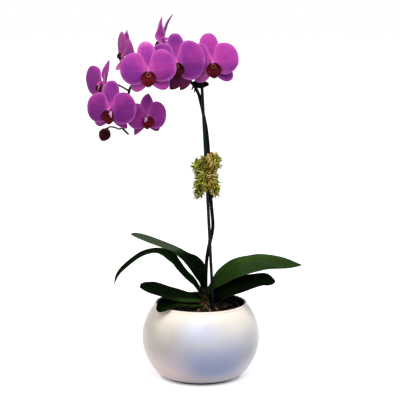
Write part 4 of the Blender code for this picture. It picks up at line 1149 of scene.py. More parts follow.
def liner_radius(z):
    """Outer radius of the grow pot at a height."""
    share = (z - BOWL_FLOOR_Z) / (GROW_RIM_Z - BOWL_FLOOR_Z)
    return GROW_BASE_RADIUS + (GROW_TOP_RADIUS - GROW_BASE_RADIUS) * share


def make_liner():
    """The grow pot: a tapered wall with a rolled rim and a drain hole in its floor."""
    base_z = BOWL_FLOOR_Z + 0.3
    rim_z = GROW_RIM_Z
    outside = [(DRAIN_RADIUS, base_z), (liner_radius(base_z) - 1.0, base_z)]
    outside += [(liner_radius(z), z) for z in np.linspace(base_z + 1.0, rim_z - 3.4, 24)]
    rim = [
        (GROW_TOP_RADIUS + 0.9, rim_z - 3.2),
        (GROW_TOP_RADIUS + GROW_FLANGE, rim_z - 2.8),
        (GROW_TOP_RADIUS + GROW_FLANGE, rim_z - 0.7),
        (GROW_TOP_RADIUS + 0.9, rim_z - 0.2),
        (GROW_TOP_RADIUS + 0.3, rim_z),
        (GROW_TOP_RADIUS - 1.0, rim_z),
        (GROW_TOP_RADIUS - GROW_WALL, rim_z - 0.5),
    ]
    inside = [(liner_radius(z) - GROW_WALL, z) for z in np.linspace(rim_z - 2.0, base_z + GROW_WALL, 16)]
    shell = Shell()
    shell.turned(outside + rim + inside + [(DRAIN_RADIUS, base_z + GROW_WALL)], LINER_SIDES, closed=True)
    shell.piece("liner", liner_look(), "black_plastic", ["grow_pot"])


def lumps(points, scale, seed):
    """A smooth random field, as sums of sines with fixed directions."""
    random = np.random.default_rng(seed)
    field = np.zeros(len(points))
    for octave in (1.0, 2.1, 4.3):
        for _ in range(4):
            way = unit(random.normal(size=3)) * scale * octave
            field += np.sin(points @ way + random.uniform(0, TURN)) / octave
    return field / 5.0


def chip_tree(look):
    """Scatters bark chips over a surface, each its own size, turn and shade."""
    inputs = {"Spacing": 0.0035, "Density": 60000.0, "Chip Size": 0.0055, "Seed": CHIP_SEED}
    nodes, value = geometry_tree("bark_scatter", inputs)
    inputs = {
        "Mesh": value("Geometry"),
        "Distance Min": value("Spacing"),
        "Density Max": value("Density"),
        "Seed": value("Seed"),
    }
    poisson = {"distribute_method": "POISSON"}
    scatter = nodes.add("GeometryNodeDistributePointsOnFaces", poisson, inputs, "Points")
    inputs = {"Size": (1.0, 0.62, 0.34), "Vertices X": 4, "Vertices Y": 3, "Vertices Z": 3}
    block = nodes.add("GeometryNodeMeshCube", inputs=inputs, out="Mesh")
    turn = nodes.chance(11, (-0.45, -0.45, 0.0), (0.45, 0.45, TURN))
    size = nodes.vector("SCALE", nodes.chance(12, (0.6, 0.55, 0.5), (1.9, 1.35, 1.1)), value("Chip Size"))
    inputs = {"Points": scatter, "Instance": block, "Rotation": turn, "Scale": size}
    chips = nodes.add("GeometryNodeInstanceOnPoints", inputs=inputs)
    return end_tree(nodes, shaken(nodes, chips, seed=13, scale=420.0, detail=2.0, amount=0.0035), look)


def make_bark(settings):
    """The mix with its loose surface, and the larger chips that lie on it."""
    rings = [(r, MIX_TOP_Z - 0.02 * max(0.0, r - 48.0) ** 2) for r in np.linspace(MIX_TOP_RADIUS, 1.0, 26)]
    low = BOWL_FLOOR_Z + GROW_WALL + 0.6
    wall = [(liner_radius(z) - GROW_WALL - 0.3, z) for z in np.linspace(low, 104.0, 8)]
    soil = Shell()
    soil.turned([(1.0, low), *wall, *rings], MIX_SIDES)
    places = np.concatenate(soil.points)
    top = places[:, 2] > MIX_TOP_Z - 3.0
    places[top, 2] += lumps(places[top], 0.22, 5) * 1.1 - 0.6
    soil.points = [places]
    # Painted shade: the mix's colours are near black for the shade inside the pot.
    dark = bark_look("damp_mix", "060403", "0f0a07", "24170d")
    soil.piece("mix", dark, "bark_mix", ["potting_mix"], sharp=80)

    disc = Shell()
    disc.turned([(MIX_TOP_RADIUS - 2.5, MIX_TOP_Z - 0.6), (MIX_TOP_RADIUS - 2.5, MIX_TOP_Z + 0.3)], 64)
    base = disc.mesh("bark_ground")
    # Painted shade: the small bits' colours are darkened for the shade inside the pot.
    chip = bark_look("bark_bits", "040302", "0b0705", "4a301c", "shade")
    grow("bark_bits", base, chip_tree(chip), {"Chip Size": settings.chip_size})

    big = bark_look("bark_chunks", "160d06", "3c2a18", "b0905c")
    for name, ((x, y), turn, (length, width, height)) in BARK_CHIPS.items():
        way = heading(turn)
        middle = np.array((x, y, MIX_TOP_Z + 0.3 + height * 0.52))
        share = np.linspace(-0.5, 0.5, 14)
        path = middle + share[:, None] * way * length
        radii = width / 2 * (1 - (2 * np.abs(share)) ** 4 * 0.45)
        chunk = Shell()
        chunk.tube(path, radii, CHIP_SIDES, squash=height / width)
        places = np.concatenate(chunk.points)
        places += unit(places - middle) * (lumps(places, 0.5, sum(map(ord, name)))[:, None] * 0.9)
        places[:, 2] = np.maximum(places[:, 2], MIX_TOP_Z - 0.2)
        chunk.points = [places]
        chunk.piece(f"{name}_rough", big, "bark_chips", [name], sharp=35)


def make_crown():
    """The short stem with its old leaf sheaths, and the roots that creep over the bark."""
    x, y = CROWN
    heights = np.linspace(MIX_TOP_Z - 1.0, CROWN_TOP_Z, 40)
    widths = np.interp(heights, (109, 118, 130, 140, 144), (8.0, 9.0, 8.5, 7.0, 4.5))
    collars = 0.55 * ((heights * 0.22) % 1.0)
    path = [(x, y, z) for z in heights]

    def lobes(turn, i):
        return 1 + 0.05 * math.sin(3 * turn + heights[i] * 0.2)

    crown = Shell()
    crown.tube(path, widths + collars - 0.4, CROWN_SIDES, ripple=lobes)
    root_z = MIX_TOP_Z + 2.9
    for i, (turn, reach) in enumerate(ROOTS):
        way = heading(turn)
        veer = np.array((-way[1], way[0], 0.0)) * (3.0 if i % 2 else -3.0)
        start = np.array((x, y, root_z + 7.0)) + way * (CROWN_RADIUS - 4)
        bend = np.array((x, y, root_z + 3.0)) + way * (CROWN_RADIUS + 3.5)
        end = np.array((x, y, root_z - 0.4)) + way * reach + veer
        dive = np.array((x, y, root_z - 5.0)) + way * (reach + 5.0) + veer * 1.6
        route = [(*start, 2.3), (*bend, 2.5), (*end, 2.2), (*dive, 1.7)]
        crown.strand(route, 8, ROOT_SIDES, ripple=lambda turn, k: 1 + 0.06 * math.sin(5 * turn + k * 1.7))
    crown.piece("crown", root_look(), "roots", ["crown_and_roots"], sharp=80)


def make_leaves(settings):
    """The strap leaves: blades that rise from a clasping sheath, folded and creased along the midrib."""
    look = leaf_look(settings)
    t = np.linspace(-1.0, 1.0, LEAF_COLUMNS)[None, :]
    for order, (name, stations) in enumerate(LEAVES.items()):
        place, across, half = stations[0]
        sheath = (0.35 * place[0] + 0.65 * CROWN[0], 0.35 * place[1] + 0.65 * CROWN[1], place[2] - 7.0)
        rows = [(*sheath, *across, half * 0.8)]
        rows += [(*place, *across, half) for place, across, half in stations]
        rows = smooth_path(rows, LEAF_STEPS)
        tones = LEAF_TONES[name]
        share = np.linspace(0.0, 1.0, len(rows))
        end = np.clip((share - 1 + tones.blunt) / tones.blunt, 0, 1)
        half = np.maximum(rows[:, 6] * np.sqrt(1 - 0.998 * end**2.4), 0.5)
        half = half * (1 + 0.012 * np.sin(share * 23 + order))
        fold = LEAF_FOLD * half[:, None] * np.abs(t) ** 1.5
        groove = 0.6 * np.exp(-((t / 0.07) ** 2)) * step_between(half, 2.0, 8.0)[:, None]
        waves = 0.035 * half[:, None] * np.sin(share[:, None] * 17 + 2.2 * t + order) * np.abs(t) ** 2
        surface, normal = strap(rows[:, 0:3], rows[:, 3:6], half, t, fold - groove + waves)
        room = half[:, None] * (1 - np.abs(t))
        thickness = LEAF_RIM + LEAF_BODY * step_between(room, 0.0, 6.0)
        upward = t * np.sign(normal[len(rows) // 2, 2])
        # Painted shade along each leaf, below 0 a painted grey sheen, and painted light on the front half
        # near the crown.
        far = step_between(share, tones.turn - 0.06, tones.turn + 0.06)
        shade_level = tones.near + (tones.beyond - tones.near) * far
        lit_front = tones.front * step_between(share, 0.62, 0.4)[:, None] * step_between(-upward, 0.1, 0.5)
        dusk = shade_level[:, None] - lit_front
        shell = Shell()
        shell.sheet(surface, thickness, UP, across=upward, along=share[:, None], dusk=dusk)
        shell.piece(f"{name}_blade", look, "leaf", [name], sharp=60)


def spike_path():
    return smooth_path(SPIKE_ROUTE, 8)


def bract(shell, path, index, radius, length, turn):
    """A small pointed sheath that hugs the stem from one point of its path."""
    centre = path[index, :3]
    along = unit(path[min(index + 4, len(path) - 1), :3] - path[max(index - 4, 0), :3])
    side = unit(np.cross(along, (0.2, 1.0, 0.1)))
    other = np.cross(along, side)
    v = np.linspace(0.0, 1.0, 9)[:, None]
    t = np.linspace(-1.0, 1.0, 11)[None, :]
    angle = turn + 1.9 * t * np.sqrt(np.clip(1 - v * 0.97, 0, 1))
    reach = radius + 0.35 + 1.1 * v**2
    way = side * np.cos(angle)[..., None] + other * np.sin(angle)[..., None]
    surface = centre + along * (v * length)[..., None] + way * reach[..., None]
    shell.sheet(surface, 0.35)


def make_spike():
    """The arching stem, swollen at its bare nodes, each of which wears a bract."""
    path = spike_path()
    spots = [int(share * (len(path) - 1)) for share in SPIKE_NODES]
    swell = np.zeros(len(path))
    for spot in spots:
        swell += 0.35 * np.exp(-(((np.arange(len(path)) - spot) / 2.5) ** 2))
    shell = Shell()
    girth = path[:, 3] + SPIKE_EXTRA * step_between(np.arange(len(path)), 0, 20) + swell
    shell.tube(path[:, :3], girth, SPIKE_SIDES, ripple=lambda turn, i: 1 + 0.02 * math.sin(5 * turn))
    for order, spot in enumerate(spots):
        bract(shell, path, spot, path[spot, 3] + 0.2, 9.0, 2.4 * order)
    shell.piece("spike", stem_look(), "stem", ["flower_spike"], sharp=60)


def stake_at(z):
    return STAKE_AT_MIX + STAKE_LEAN * (np.asarray(z) - STAKE_AT_MIX[2])[..., None]


def make_stake():
    """The coated rod that stands in the mix and leans beside the spike."""
    heights = np.linspace(STAKE_LOW_Z, STAKE_TOP_Z, 320)
    rod = Shell()
    radii = (STAKE_RADIUS + STAKE_COAT) * (1 + 0.02 * np.sin(heights * 1.1))
    rod.tube(stake_at(heights), radii, STAKE_SIDES)
    rod.piece("stake_rod", stake_look(), "stake_coat", ["stake"], sharp=60)


def make_clip():
    """The spring clip: a ribbed C-shaped band with a long finger lobe and two prongs."""
    x, y = stake_at(CLIP_Z)[:2] + (-3.0, 2.0)
    turns = np.radians(np.linspace(-152.0, 138.0, 64))[:, None]
    v = np.linspace(-1.0, 1.0, 17)[None, :]
    belly = np.sqrt(np.clip(1 - 0.55 * v**4, 0, 1))
    across = np.where(np.cos(turns) < 0, 13.0, 10.0) * belly
    band = np.broadcast_arrays(
        x + across * np.cos(turns),
        y + 7.2 * belly * np.sin(turns),
        CLIP_Z + CLIP_HEIGHT / 2 * v * (1 - 0.18 * np.cos(turns) ** 2),
    )
    shell = Shell()
    shell.sheet(np.stack(band, axis=-1), 1.9 + 0.25 * np.cos(v * 12))
    for high_x, low_x, low_z in ((-10.5, -14.5, 464.0), (-7.5, -10.5, 460.5)):
        shell.strand([(high_x, y - 5.6, CLIP_Z - 1, 1.7), (low_x, y - 6.6, low_z, 1.0)], 8, PRONG_SIDES)
    for height in (-3.2, 3.2):
        pad = [(x + 8.5, y - 2.0, CLIP_Z + height, 1.6), (x + 13.0, y - 4.0, CLIP_Z, 2.2)]
        shell.strand(pad, 8, PRONG_SIDES)
    shell.piece("clip", clip_look(), "black_plastic", ["stem_clip"], sharp=50)


def moss_tree(look):
    """Grows curling strands that splay away from the tie, each with its own length and shade."""
    inputs = {
        "Density": 160000.0,
        "Strand Length": 0.0078,
        "Strand Radius": STRAND_RADIUS * MM,
        "Curl": STRAND_CURL * MM,
        "Tie Height": TIE_Z * MM,
        "Seed": MOSS_SEED,
    }
    nodes, value = geometry_tree("moss_strands", inputs)
    inputs = {"Mesh": value("Geometry"), "Density": value("Density"), "Seed": value("Seed")}
    roots = nodes.add("GeometryNodeDistributePointsOnFaces", inputs=inputs, out="Points")
    normal = Wire(nodes, roots.socket.node.outputs["Normal"])
    line = nodes.add("GeometryNodeCurvePrimitiveLine", inputs={"Start": (0.0, 0.0, -0.3), "End": UP})
    strand = nodes.add("GeometryNodeResampleCurve", inputs={"Curve": line, "Count": 8})
    stray = nodes.chance(21, (-1.0, -1.0, -0.9), (1.0, 1.0, 0.9))
    place = nodes.add("GeometryNodeInputPosition")
    height = nodes.add("ShaderNodeSeparateXYZ", inputs={0: place}, out="Z") - value("Tie Height")
    splay = nodes.add("ShaderNodeCombineXYZ", inputs={"Z": height * 50.0})
    way = nodes.vector("ADD", nodes.vector("ADD", nodes.vector("SCALE", normal, 0.45), splay), stray)
    turn = nodes.add("FunctionNodeAlignRotationToVector", {"axis": "Z"}, {"Vector": way}, "Rotation")
    waist = nodes.between(height.size(), 0.0, 0.008, 0.35, 1.0)
    length = nodes.chance(22, 0.4, 1.2) * value("Strand Length") * waist
    inputs = {"Points": roots, "Instance": strand, "Rotation": turn, "Scale": length}
    strands = nodes.add("GeometryNodeInstanceOnPoints", inputs=inputs)
    curled = shaken(nodes, strands, seed=23, scale=130.0, detail=1.0, amount=value("Curl"))
    inputs = {"Resolution": 4, "Radius": value("Strand Radius")}
    ring = nodes.add("GeometryNodeCurvePrimitiveCircle", inputs=inputs)
    inputs = {"Curve": curled, "Profile Curve": ring, "Fill Caps": True}
    return end_tree(nodes, nodes.add("GeometryNodeCurveToMesh", inputs=inputs), look)


def tie_outline(turn):
    """A point of the line that the twine takes round the moss's centre."""
    ripple = 1 + 0.07 * math.cos(2 * turn) + 0.05 * math.sin(5 * turn)
    return np.array((TIE_ACROSS * math.cos(turn), TIE_DEEP * math.sin(turn))) * ripple


def make_moss(settings):
    """The tuft: four clumped bundles under hundreds of curling strands."""
    core = Shell()
    for order, tuft in enumerate(MOSS_TUFTS):
        rows = smooth_path(tuft, 5)
        path = rows[:, :3] + (MOSS_CENTRE_X, 0.0, 0.0)
        core.tube(path, rows[:, 3], MOSS_SIDES)
        bundle = core.points[-1]
        centres = np.repeat(path, MOSS_SIDES, axis=0)
        bundle[:-2] += unit(bundle[:-2] - centres) * lumps(bundle[:-2], 0.4, order)[:, None] * 1.5
    core.piece("moss_core", moss_core_look(), "moss", ["moss_bundle"], sharp=80)
    values = {"Density": settings.moss_density, "Strand Length": settings.moss_length}
    tree = moss_tree(moss_look(settings))
    grow("moss_strands", core.mesh("moss_ground"), tree, values)


def make_tie():
    """Two-ply twine, wound round the waist of the moss and knotted in front."""
    shell = Shell()
    for ply in (0.0, math.pi):
        path = []
        for k in range(TIE_STEPS + 1):
            out = tie_outline(TURN * k / TIE_STEPS - 1.9)
            way = out / np.linalg.norm(out)
            twist = ply + k * 0.55
            slack = 2.0 - 3.0 * step_between(out[0], -4.0, 6.0)
            x, y = (MOSS_CENTRE_X, 0.0) + out + way * (slack + PLY_OFFSET * math.cos(twist))
            path.append((x, y, TIE_Z + PLY_OFFSET * math.sin(twist) - out[0] * TIE_SLOPE))
        shell.tube(path, TWINE_RADIUS, TWINE_SIDES)
    knot = np.array(shell.points[0][0])
    for way in ((-4.5, -1.5, -6.0), (3.0, -1.8, -7.5)):
        end = knot + np.array(way)
        bend = knot + np.array(way) * 0.5 + (0.8, -1.0, 1.2)
        shell.tube(smooth_path([knot, bend, end], 8), 0.5, TWINE_SIDES)
    loop = [knot + (1.5 * math.cos(a), -0.6, 1.3 * math.sin(a)) for a in np.linspace(0, TURN * 0.93, 14)]
    shell.tube(loop, TWINE_RADIUS, TWINE_SIDES)
    shell.piece("twine", twine_look(), "twine", ["moss_tie"])


def tepal_width(share, form):
    """Half width along a tepal, 1 at its widest: a claw, a blade and a tip that may be pointed."""
    skewed = share**form.skew
    wide = (4 * skewed * (1 - skewed)) ** (form.power / 2) * (1 - skewed) ** (form.power * form.tip / 2)
    wide = wide * (1 - form.claw * np.maximum(0.0, 1 - share / form.claw_share) ** 1.5)
    return wide / wide.max()


def tepal_grid(tepal, start, rise, forward, size, wave, phase):
    """The middle surface of one tepal at scale 1, with what its material reads."""
    rows, columns = size
    share = (1 - np.cos(math.pi * np.linspace(0.03, 0.988, rows + 1))) / 2
    wide = tepal_width(share, tepal.form)
    even = np.linspace(-1.0, 1.0, columns + 1)
    t = (0.55 * even + 0.45 * np.sin(even * math.pi / 2))[None, :]
    along = ((share - TEPAL_FIRST) / (TEPAL_LAST - TEPAL_FIRST))[:, None]
    wide = wide[:, None]
    side = np.radians(tepal.angle + tepal.bend * along)
    middle = np.radians(tepal.angle + tepal.bend * along / 2)
    reach = start + (tepal.length - start) * along
    half = np.where(t > 0, tepal.after, tepal.before)
    span = t * half * wide * (1 + 0.015 * np.sin(9 * along + phase + 2 * t))
    frill = wave * step_between(np.abs(t), 0.45, 1.0) * np.sin(8 * along + 3 * t + phase)
    crease = 0.6 * np.exp(-((t / 0.06) ** 2)) * (1 - along)
    turned = np.radians(tepal.form.twist) * step_between(along, 0.0, 0.35)
    depth = forward + rise(along, t * wide) - tepal.curl * along**2 + frill - crease + span * np.sin(turned)
    flat = span * np.cos(turned)
    across = np.sin(middle) * reach + np.cos(side) * flat
    up = np.cos(middle) * reach - np.sin(side) * flat
    edge = np.minimum(half * wide * (1 - np.abs(t)), tepal.length * (1 - share[:, None]))
    facts = {"along": share[:, None], "edge": edge, "span": span, "reach": reach, "t": t}
    return np.stack([across, -depth, up], axis=-1), facts


def petal_rise(lean):
    slope = math.tan(math.radians(lean))
    return lambda along, t: 40.0 * slope * along - 5.0 * along**3 - 2.0 * t * t


def sepal_rise(along, t):
    return -along - 1.5 * along**2 + 1.2 * t * t


class Flower:
    """One open flower: turns shapes from its own frame (x right, -y forward, z up) into the plant's."""

    def __init__(self, name, order):
        self.name = name
        self.order = order
        self.facts = FLOWERS[name]
        face, pitch, roll = (math.radians(angle) for angle in self.facts.turn)
        self.turn = np.array(Euler((-pitch, roll, -face), "YXZ").to_matrix())
        self.facing = self.turn @ np.array((0.0, -1.0, 0.0))
        self.hub = np.array(self.facts.hub)
        self.scale = self.facts.scale
        self.lip_hub = self.placed(self.facts.lip_move)

    def placed(self, points, hub=None):
        """Points of the flower's own frame, about its hub or another point, in the plant's."""
        return np.asarray(points) * self.scale @ self.turn.T + (self.hub if hub is None else hub)

    def tepal(self, shell, which, rise, forward, size, wave):
        """Adds one petal or sepal, placed and thickened, with what its material reads."""
        tepal = getattr(self.facts, which)
        phase = self.order * 1.7 + len(which)
        start = (COLUMN_RADIUS + PETAL_CLEARANCE) / self.scale - 1.2 if tepal.start is None else tepal.start
        grid, facts = tepal_grid(tepal, start, rise, forward, size, wave, phase)
        along, edge, t = facts["along"], facts["edge"], facts["t"]
        low, high = tepal.tone or (self.facts.pink, self.facts.pink)
        pink = low + (high - low) * step_between(along, 0.3, 1.0)
        vein = t * 3.6
        if which.startswith("petal"):
            vein = np.arctan2(facts["span"], facts["reach"] + 14.0) / 0.072
            # Painted shade: each petal's lower half less pink.
            shade_below = t * math.copysign(1.0, tepal.angle)
            pink = pink - 0.4 * shade_below * step_between(edge, 0.0, 6.0)
        thickness = (0.3 + 0.55 * step_between(edge, 0.0, 5.0)) * self.scale
        shell.sheet(self.placed(grid), thickness, self.facing, pink=pink, vein=vein, along=along, edge=edge)

    def finish(self, shell, part, form, look, slot, sharp=60):
        shell.piece(f"{self.name}_{part}_{form}", look, slot, [f"{self.name}_{part}"], sharp)

    def petals(self, look):
        for side in ("petal_left", "petal_right"):
            shell = Shell()
            rise = petal_rise(self.facts.lean)
            self.tepal(shell, side, rise, PETAL_FORWARD, PETAL_GRID, PETAL_WAVE)
            self.finish(shell, side, "bloom", look, "petal")

    def sepals(self, look):
        shell = Shell()
        for which in ("dorsal", "lateral_left", "lateral_right"):
            self.tepal(shell, which, sepal_rise, 0.0, SEPAL_GRID, SEPAL_WAVE)
        cup = Shell()
        profile = ((1.6, -5.5), (2.0, -3.5), (3.2, -1.6), (5.0, -0.5), (5.6, 0.1), (4.4, 0.55), (3.0, 0.6))
        cup.turned(profile, CUP_SIDES)
        points = cup.points[0][:, [0, 2, 1]] * (1, -1, 1)
        shell.put(self.placed(points), cup.faces, along=0.1, pink=self.facts.pink, edge=5.0)
        self.finish(shell, "sepals", "bloom", look, "sepal")

    def lobe(self, shell, stations, columns, lift, tint, pale=0.0):
        """A lobe of the lip: rows of (x, y, z, across x, y, z, half width)."""
        size = self.facts.lip_size
        rows = smooth_path(stations, 7)
        half = rows[:, 6] * size
        t = np.linspace(-1, 1, columns)[None, :]
        grid, _ = strap(rows[:, :3] * size, rows[:, 3:6], half, t, lift * half[:, None] * t * t)
        share = np.linspace(0, 1, len(rows))[:, None]
        room = half[:, None] * (1 - np.abs(t))
        thick = (0.35 + 0.45 * step_between(room, 0.0, 2.0)) * self.scale
        # Painted shade darkens the lips of flowers that sit in shadow.
        dim = self.facts.lip_dim
        shell.sheet(self.placed(grid, self.lip_hub), thick, along=share, tint=tint, pale=pale, dim=dim)

    def cord(self, shell, points, radii, sides, **attributes):
        """A round form of the lip along points of the flower's own frame."""
        size = self.facts.lip_size
        points = self.placed(np.array(points) * size, self.lip_hub)
        shell.tube(points, radii * self.scale * size, sides, **attributes)

    def lip(self, look):
        """Middle lobe, two side lobes beside the column, a ringed callus and two short tendrils."""
        shell = Shell()
        middle = (
            (0.0, -4.6, -3.8, 1, 0, 0, 2.0),
            (0.0, -8.2, -6.2, 1, 0, 0, 4.4),
            (0.0, -11.0, -9.8, 1, 0, 0, 7.4),
            (0.0, -12.6, -14.4, 1, 0, 0, 8.6),
            (0.0, -12.8, -18.8, 1, 0, 0, 9.6),
            (0.0, -11.8, -22.8, 1, 0, 0, 8.2),
            (0.0, -10.2, -25.8, 1, 0, 0, 5.4),
            (0.0, -9.0, -27.0, 1, 0, 0, 2.8),
        )
        self.lobe(shell, middle, 17, 0.3, 0.0)
        for way in (-1, 1):
            ear = (
                (1.8 * way, -5.4, -4.2, 0.3 * way, -0.2, 1.0, 1.6),
                (4.8 * way, -8.0, -6.8, 0.4 * way, -0.45, 0.9, 3.6),
                (7.4 * way, -10.4, -10.8, 0.7 * way, -0.45, 0.6, 4.6),
                (8.8 * way, -12.0, -15.2, 0.9 * way, -0.4, 0.2, 4.2),
                (8.2 * way, -12.8, -20.2, 0.9 * way, -0.3, 0.0, 2.2),
            )
            self.lobe(shell, ear, 13, 0.3 * -way, 0.45)
            if self.facts.pale_lobe == way:
                flap = (
                    (3.0 * way, -9.0, -4.8, 1, 0, 0.2, 0.8),
                    (4.4 * way, -12.6, -6.4, 1, 0, 0.2, 2.4),
                    (5.4 * way, -14.4, -9.2, 1, 0, 0.1, 2.7),
                    (6.8 * way, -15.0, -12.6, 1, 0, 0.0, 1.7),
                    (8.0 * way, -15.0, -15.4, 1, 0, 0.0, 0.5),
                )
                self.lobe(shell, flap, 11, 0.2 * way, 0.45, pale=1.0)
            tail = (
                (0.6 * way, -9.4, -26.2),
                (1.8 * way, -8.6, -27.4),
                (2.6 * way, -9.4, -27.6),
                (3.0 * way, -10.4, -26.8),
            )
            path = self.placed(smooth_path(np.array(tail) * self.facts.lip_size, 6), self.lip_hub)
            shell.tube(path, np.linspace(0.5, 0.25, len(path)) * self.scale, 8, tint=0.3, along=0.9)
        turns = np.linspace(0.0, TURN, 25)
        ring = [(3.0 * math.cos(a), -12.2 + 0.8 * math.sin(a), -8.8 + 2.7 * math.sin(a)) for a in turns]
        # Painted shade darkens the callus ring on flowers in shadow.
        self.cord(shell, ring, np.full(25, 1.3), 10, tint=1.0, along=0.5, dim=self.facts.ring_dim)
        eye = ((0.0, -9.0, -7.6), (0.0, -11.2, -8.4), (0.0, -12.4, -8.8))
        self.cord(shell, eye, np.array((2.0, 1.8, 0.8)), 10, tint=0.0, along=0.0)
        self.finish(shell, "lip", "lobes", look, "lip")

    def column(self, look, spike):
        """The stalk from the spike to the hub, the column over the lip and the anther cap at its tip."""
        route = self.facts.stalk
        start = spike[np.argmin(np.linalg.norm(spike[:, :3] - np.array(route[0]), axis=1)), :3]
        path = smooth_path([start, *route[1:], *self.placed([(0.0, 6.5, 0.0), (0.0, 3.0, 0.0)])], 9)
        share = np.linspace(0.0, 1.0, len(path))
        flare = 0.6 * np.exp(-((share / 0.05) ** 2)) + 0.3 * step_between(share, 0.6, 0.95)
        radii = (1.6 + flare) * self.scale

        def grooves(turn, i):
            return 1 + 0.06 * share[i] * math.cos(3 * turn + share[i] * 4)

        shell = Shell()
        shell.tube(path, radii, STALK_SIDES, ripple=grooves, tint=0.5 * step_between(share, 0.3, 0.95))
        # Each row is x, y, z and the radius there.
        body = (
            (0.0, 2.5, 0.6, 2.2),
            (0.0, -1.5, 1.0, 2.6),
            (0.0, -5.5, 0.2, 2.5),
            (0.0, -8.6, -2.0, 2.8),
        )
        cap = (
            (0.0, -7.8, -1.4, 2.2),
            (0.0, -9.0, -2.4, 2.9),
            (0.0, -10.0, -3.8, 2.4),
            (0.0, -10.3, -4.8, 1.2),
        )
        for stations, squash, tint in ((body, 0.85, 0.72), (cap, 1.0, 1.0)):
            rows = smooth_path(stations, 6)
            radii = rows[:, 3] * self.scale
            shell.tube(self.placed(rows[:, :3]), radii, COLUMN_SIDES, squash=squash, tint=tint)
        self.finish(shell, "column", "skin", look, "column", sharp=70)


def make_flowers(settings):
    """Every open flower, each as petals, sepals, lip and column."""
    petal = petal_look("petal_skin", settings)
    sepal = petal_look("sepal_skin", settings)
    lip = lip_look(settings)
    column = column_look(settings)
    spike = spike_path()
    for order, name in enumerate(FLOWERS):
        flower = Flower(name, order)
        flower.petals(petal)
        flower.sepals(sepal)
        flower.lip(lip)
        flower.column(column, spike)


def crease(turn):
    """1 on the bud's three seams, falling off to each side."""
    return abs(math.cos(1.5 * turn)) ** 10


def make_bud():
    """The closed bud at the tip, pressed in along three seams."""
    path = smooth_path(BUD_ROUTE, 7)
    swollen = step_between(path[:, 3], 1.8, 5.0)

    def seams(turn, i):
        return 1 - 0.07 * swollen[i] * crease(turn)

    shell = Shell()
    share = np.linspace(0.0, 1.0, len(path))
    shell.tube(path[:, :3], np.maximum(path[:, 3], 1.35), BUD_SIDES, ripple=seams, along=share)
    creases = [crease(TURN * k / BUD_SIDES) for k in range(BUD_SIDES)]
    shell.attributes["seam"] = [np.append(np.outer(swollen, creases), (0.0, 0.0))]
    shell.piece("bud_closed", bud_look(), "bud_skin", ["bud"], sharp=80)


# ---------------------------------------------------------------- stage


def hang(name, lamp):
    """Hangs a round softbox at its place, turned to its aim."""
    light = bpy.data.lights.new(name, "AREA")
    light.shape = "DISK"
    light.size = lamp.size
    light.energy = lamp.watts
    light.color = lamp.colour
    holder = bpy.data.objects.new(name, light)
    holder.location = lamp.place
    holder.rotation_euler = (Vector(lamp.aim) - Vector(lamp.place)).to_track_quat("-Z", "Y").to_euler()
    bpy.context.scene.collection.objects.link(holder)


Lamp = namedtuple("Lamp", "place aim size watts colour")
# Places, aims and sizes are in metres.
LAMPS = {
    "key_softbox": Lamp((0.3, -0.6, 1.85), (0.0, 0.0, 0.3), 1.1, 27.0, (1.0, 0.985, 0.96)),
    "front_fill": Lamp((-0.25, -1.1, 0.95), (-0.06, 0.0, 0.48), 0.8, 4.2, (1.0, 0.98, 0.99)),
    "left_glow": Lamp((-1.3, -0.3, 0.25), (0.0, 0.0, 0.1), 0.8, 3.0, (1.0, 0.88, 0.8)),
    "back_rim": Lamp((0.5, 1.3, 1.2), (0.0, 0.0, 0.3), 0.9, 3.0, (0.93, 0.97, 1.0)),
}
CAMERA_PLACE = (-0.0012, -2.2, 0.65)
CAMERA_PITCH = 9.34  # degrees below level
CAMERA_LENS = 125.73
FLOOR_REACH = 12.0


def make_stage(settings):
    """The camera, the even white air, the floor and the four softboxes."""
    scene = bpy.context.scene
    scene.view_settings.view_transform = "Standard"

    camera = bpy.data.cameras.new("camera")
    camera.sensor_width = 36.0
    camera.lens = CAMERA_LENS
    holder = bpy.data.objects.new("camera", camera)
    holder.location = CAMERA_PLACE
    holder.rotation_euler = (math.radians(90 - CAMERA_PITCH), 0.0, 0.0)
    scene.collection.objects.link(holder)
    scene.camera = holder

    world = bpy.data.worlds.new("studio")
    world.use_nodes = True
    scene.world = world
    air = Nodes(world.node_tree)
    air.tree.nodes.clear()
    soft = {"Color": settings.world_colour, "Strength": settings.world_strength}
    level = air.add("ShaderNodeBackground", inputs=soft)
    white = air.add("ShaderNodeBackground", inputs={"Color": 1.0, "Strength": 1.0})
    blend = air.add("ShaderNodeMixShader", inputs={0: seen_ray(air), 1: level, 2: white})
    output = air.tree.nodes.new("ShaderNodeOutputWorld")
    air.plug(output.inputs["Surface"], blend)

    mesh = bpy.data.meshes.new("studio_floor")
    corners = [(x * FLOOR_REACH, y * FLOOR_REACH, 0.0) for x, y in ((-1, -1), (1, -1), (1, 1), (-1, 1))]
    mesh.from_pydata(corners, [], [(0, 1, 2, 3)])
    mesh.materials.append(floor_look(settings).material)
    floor = bpy.data.objects.new("studio_floor", mesh)
    scene.collection.objects.link(floor)

    for name, lamp in LAMPS.items():
        hang(name, lamp)


# ---------------------------------------------------------------- add-on


def colour_property(name, description, code):
    values = {"subtype": "COLOR", "size": 3, "min": 0.0, "max": 1.0, "default": tone(code)}
    return bpy.props.FloatVectorProperty(name=name, description=description, **values)


def number_property(name, description, default, **limits):
    return bpy.props.FloatProperty(name=name, description=description, default=default, **limits)


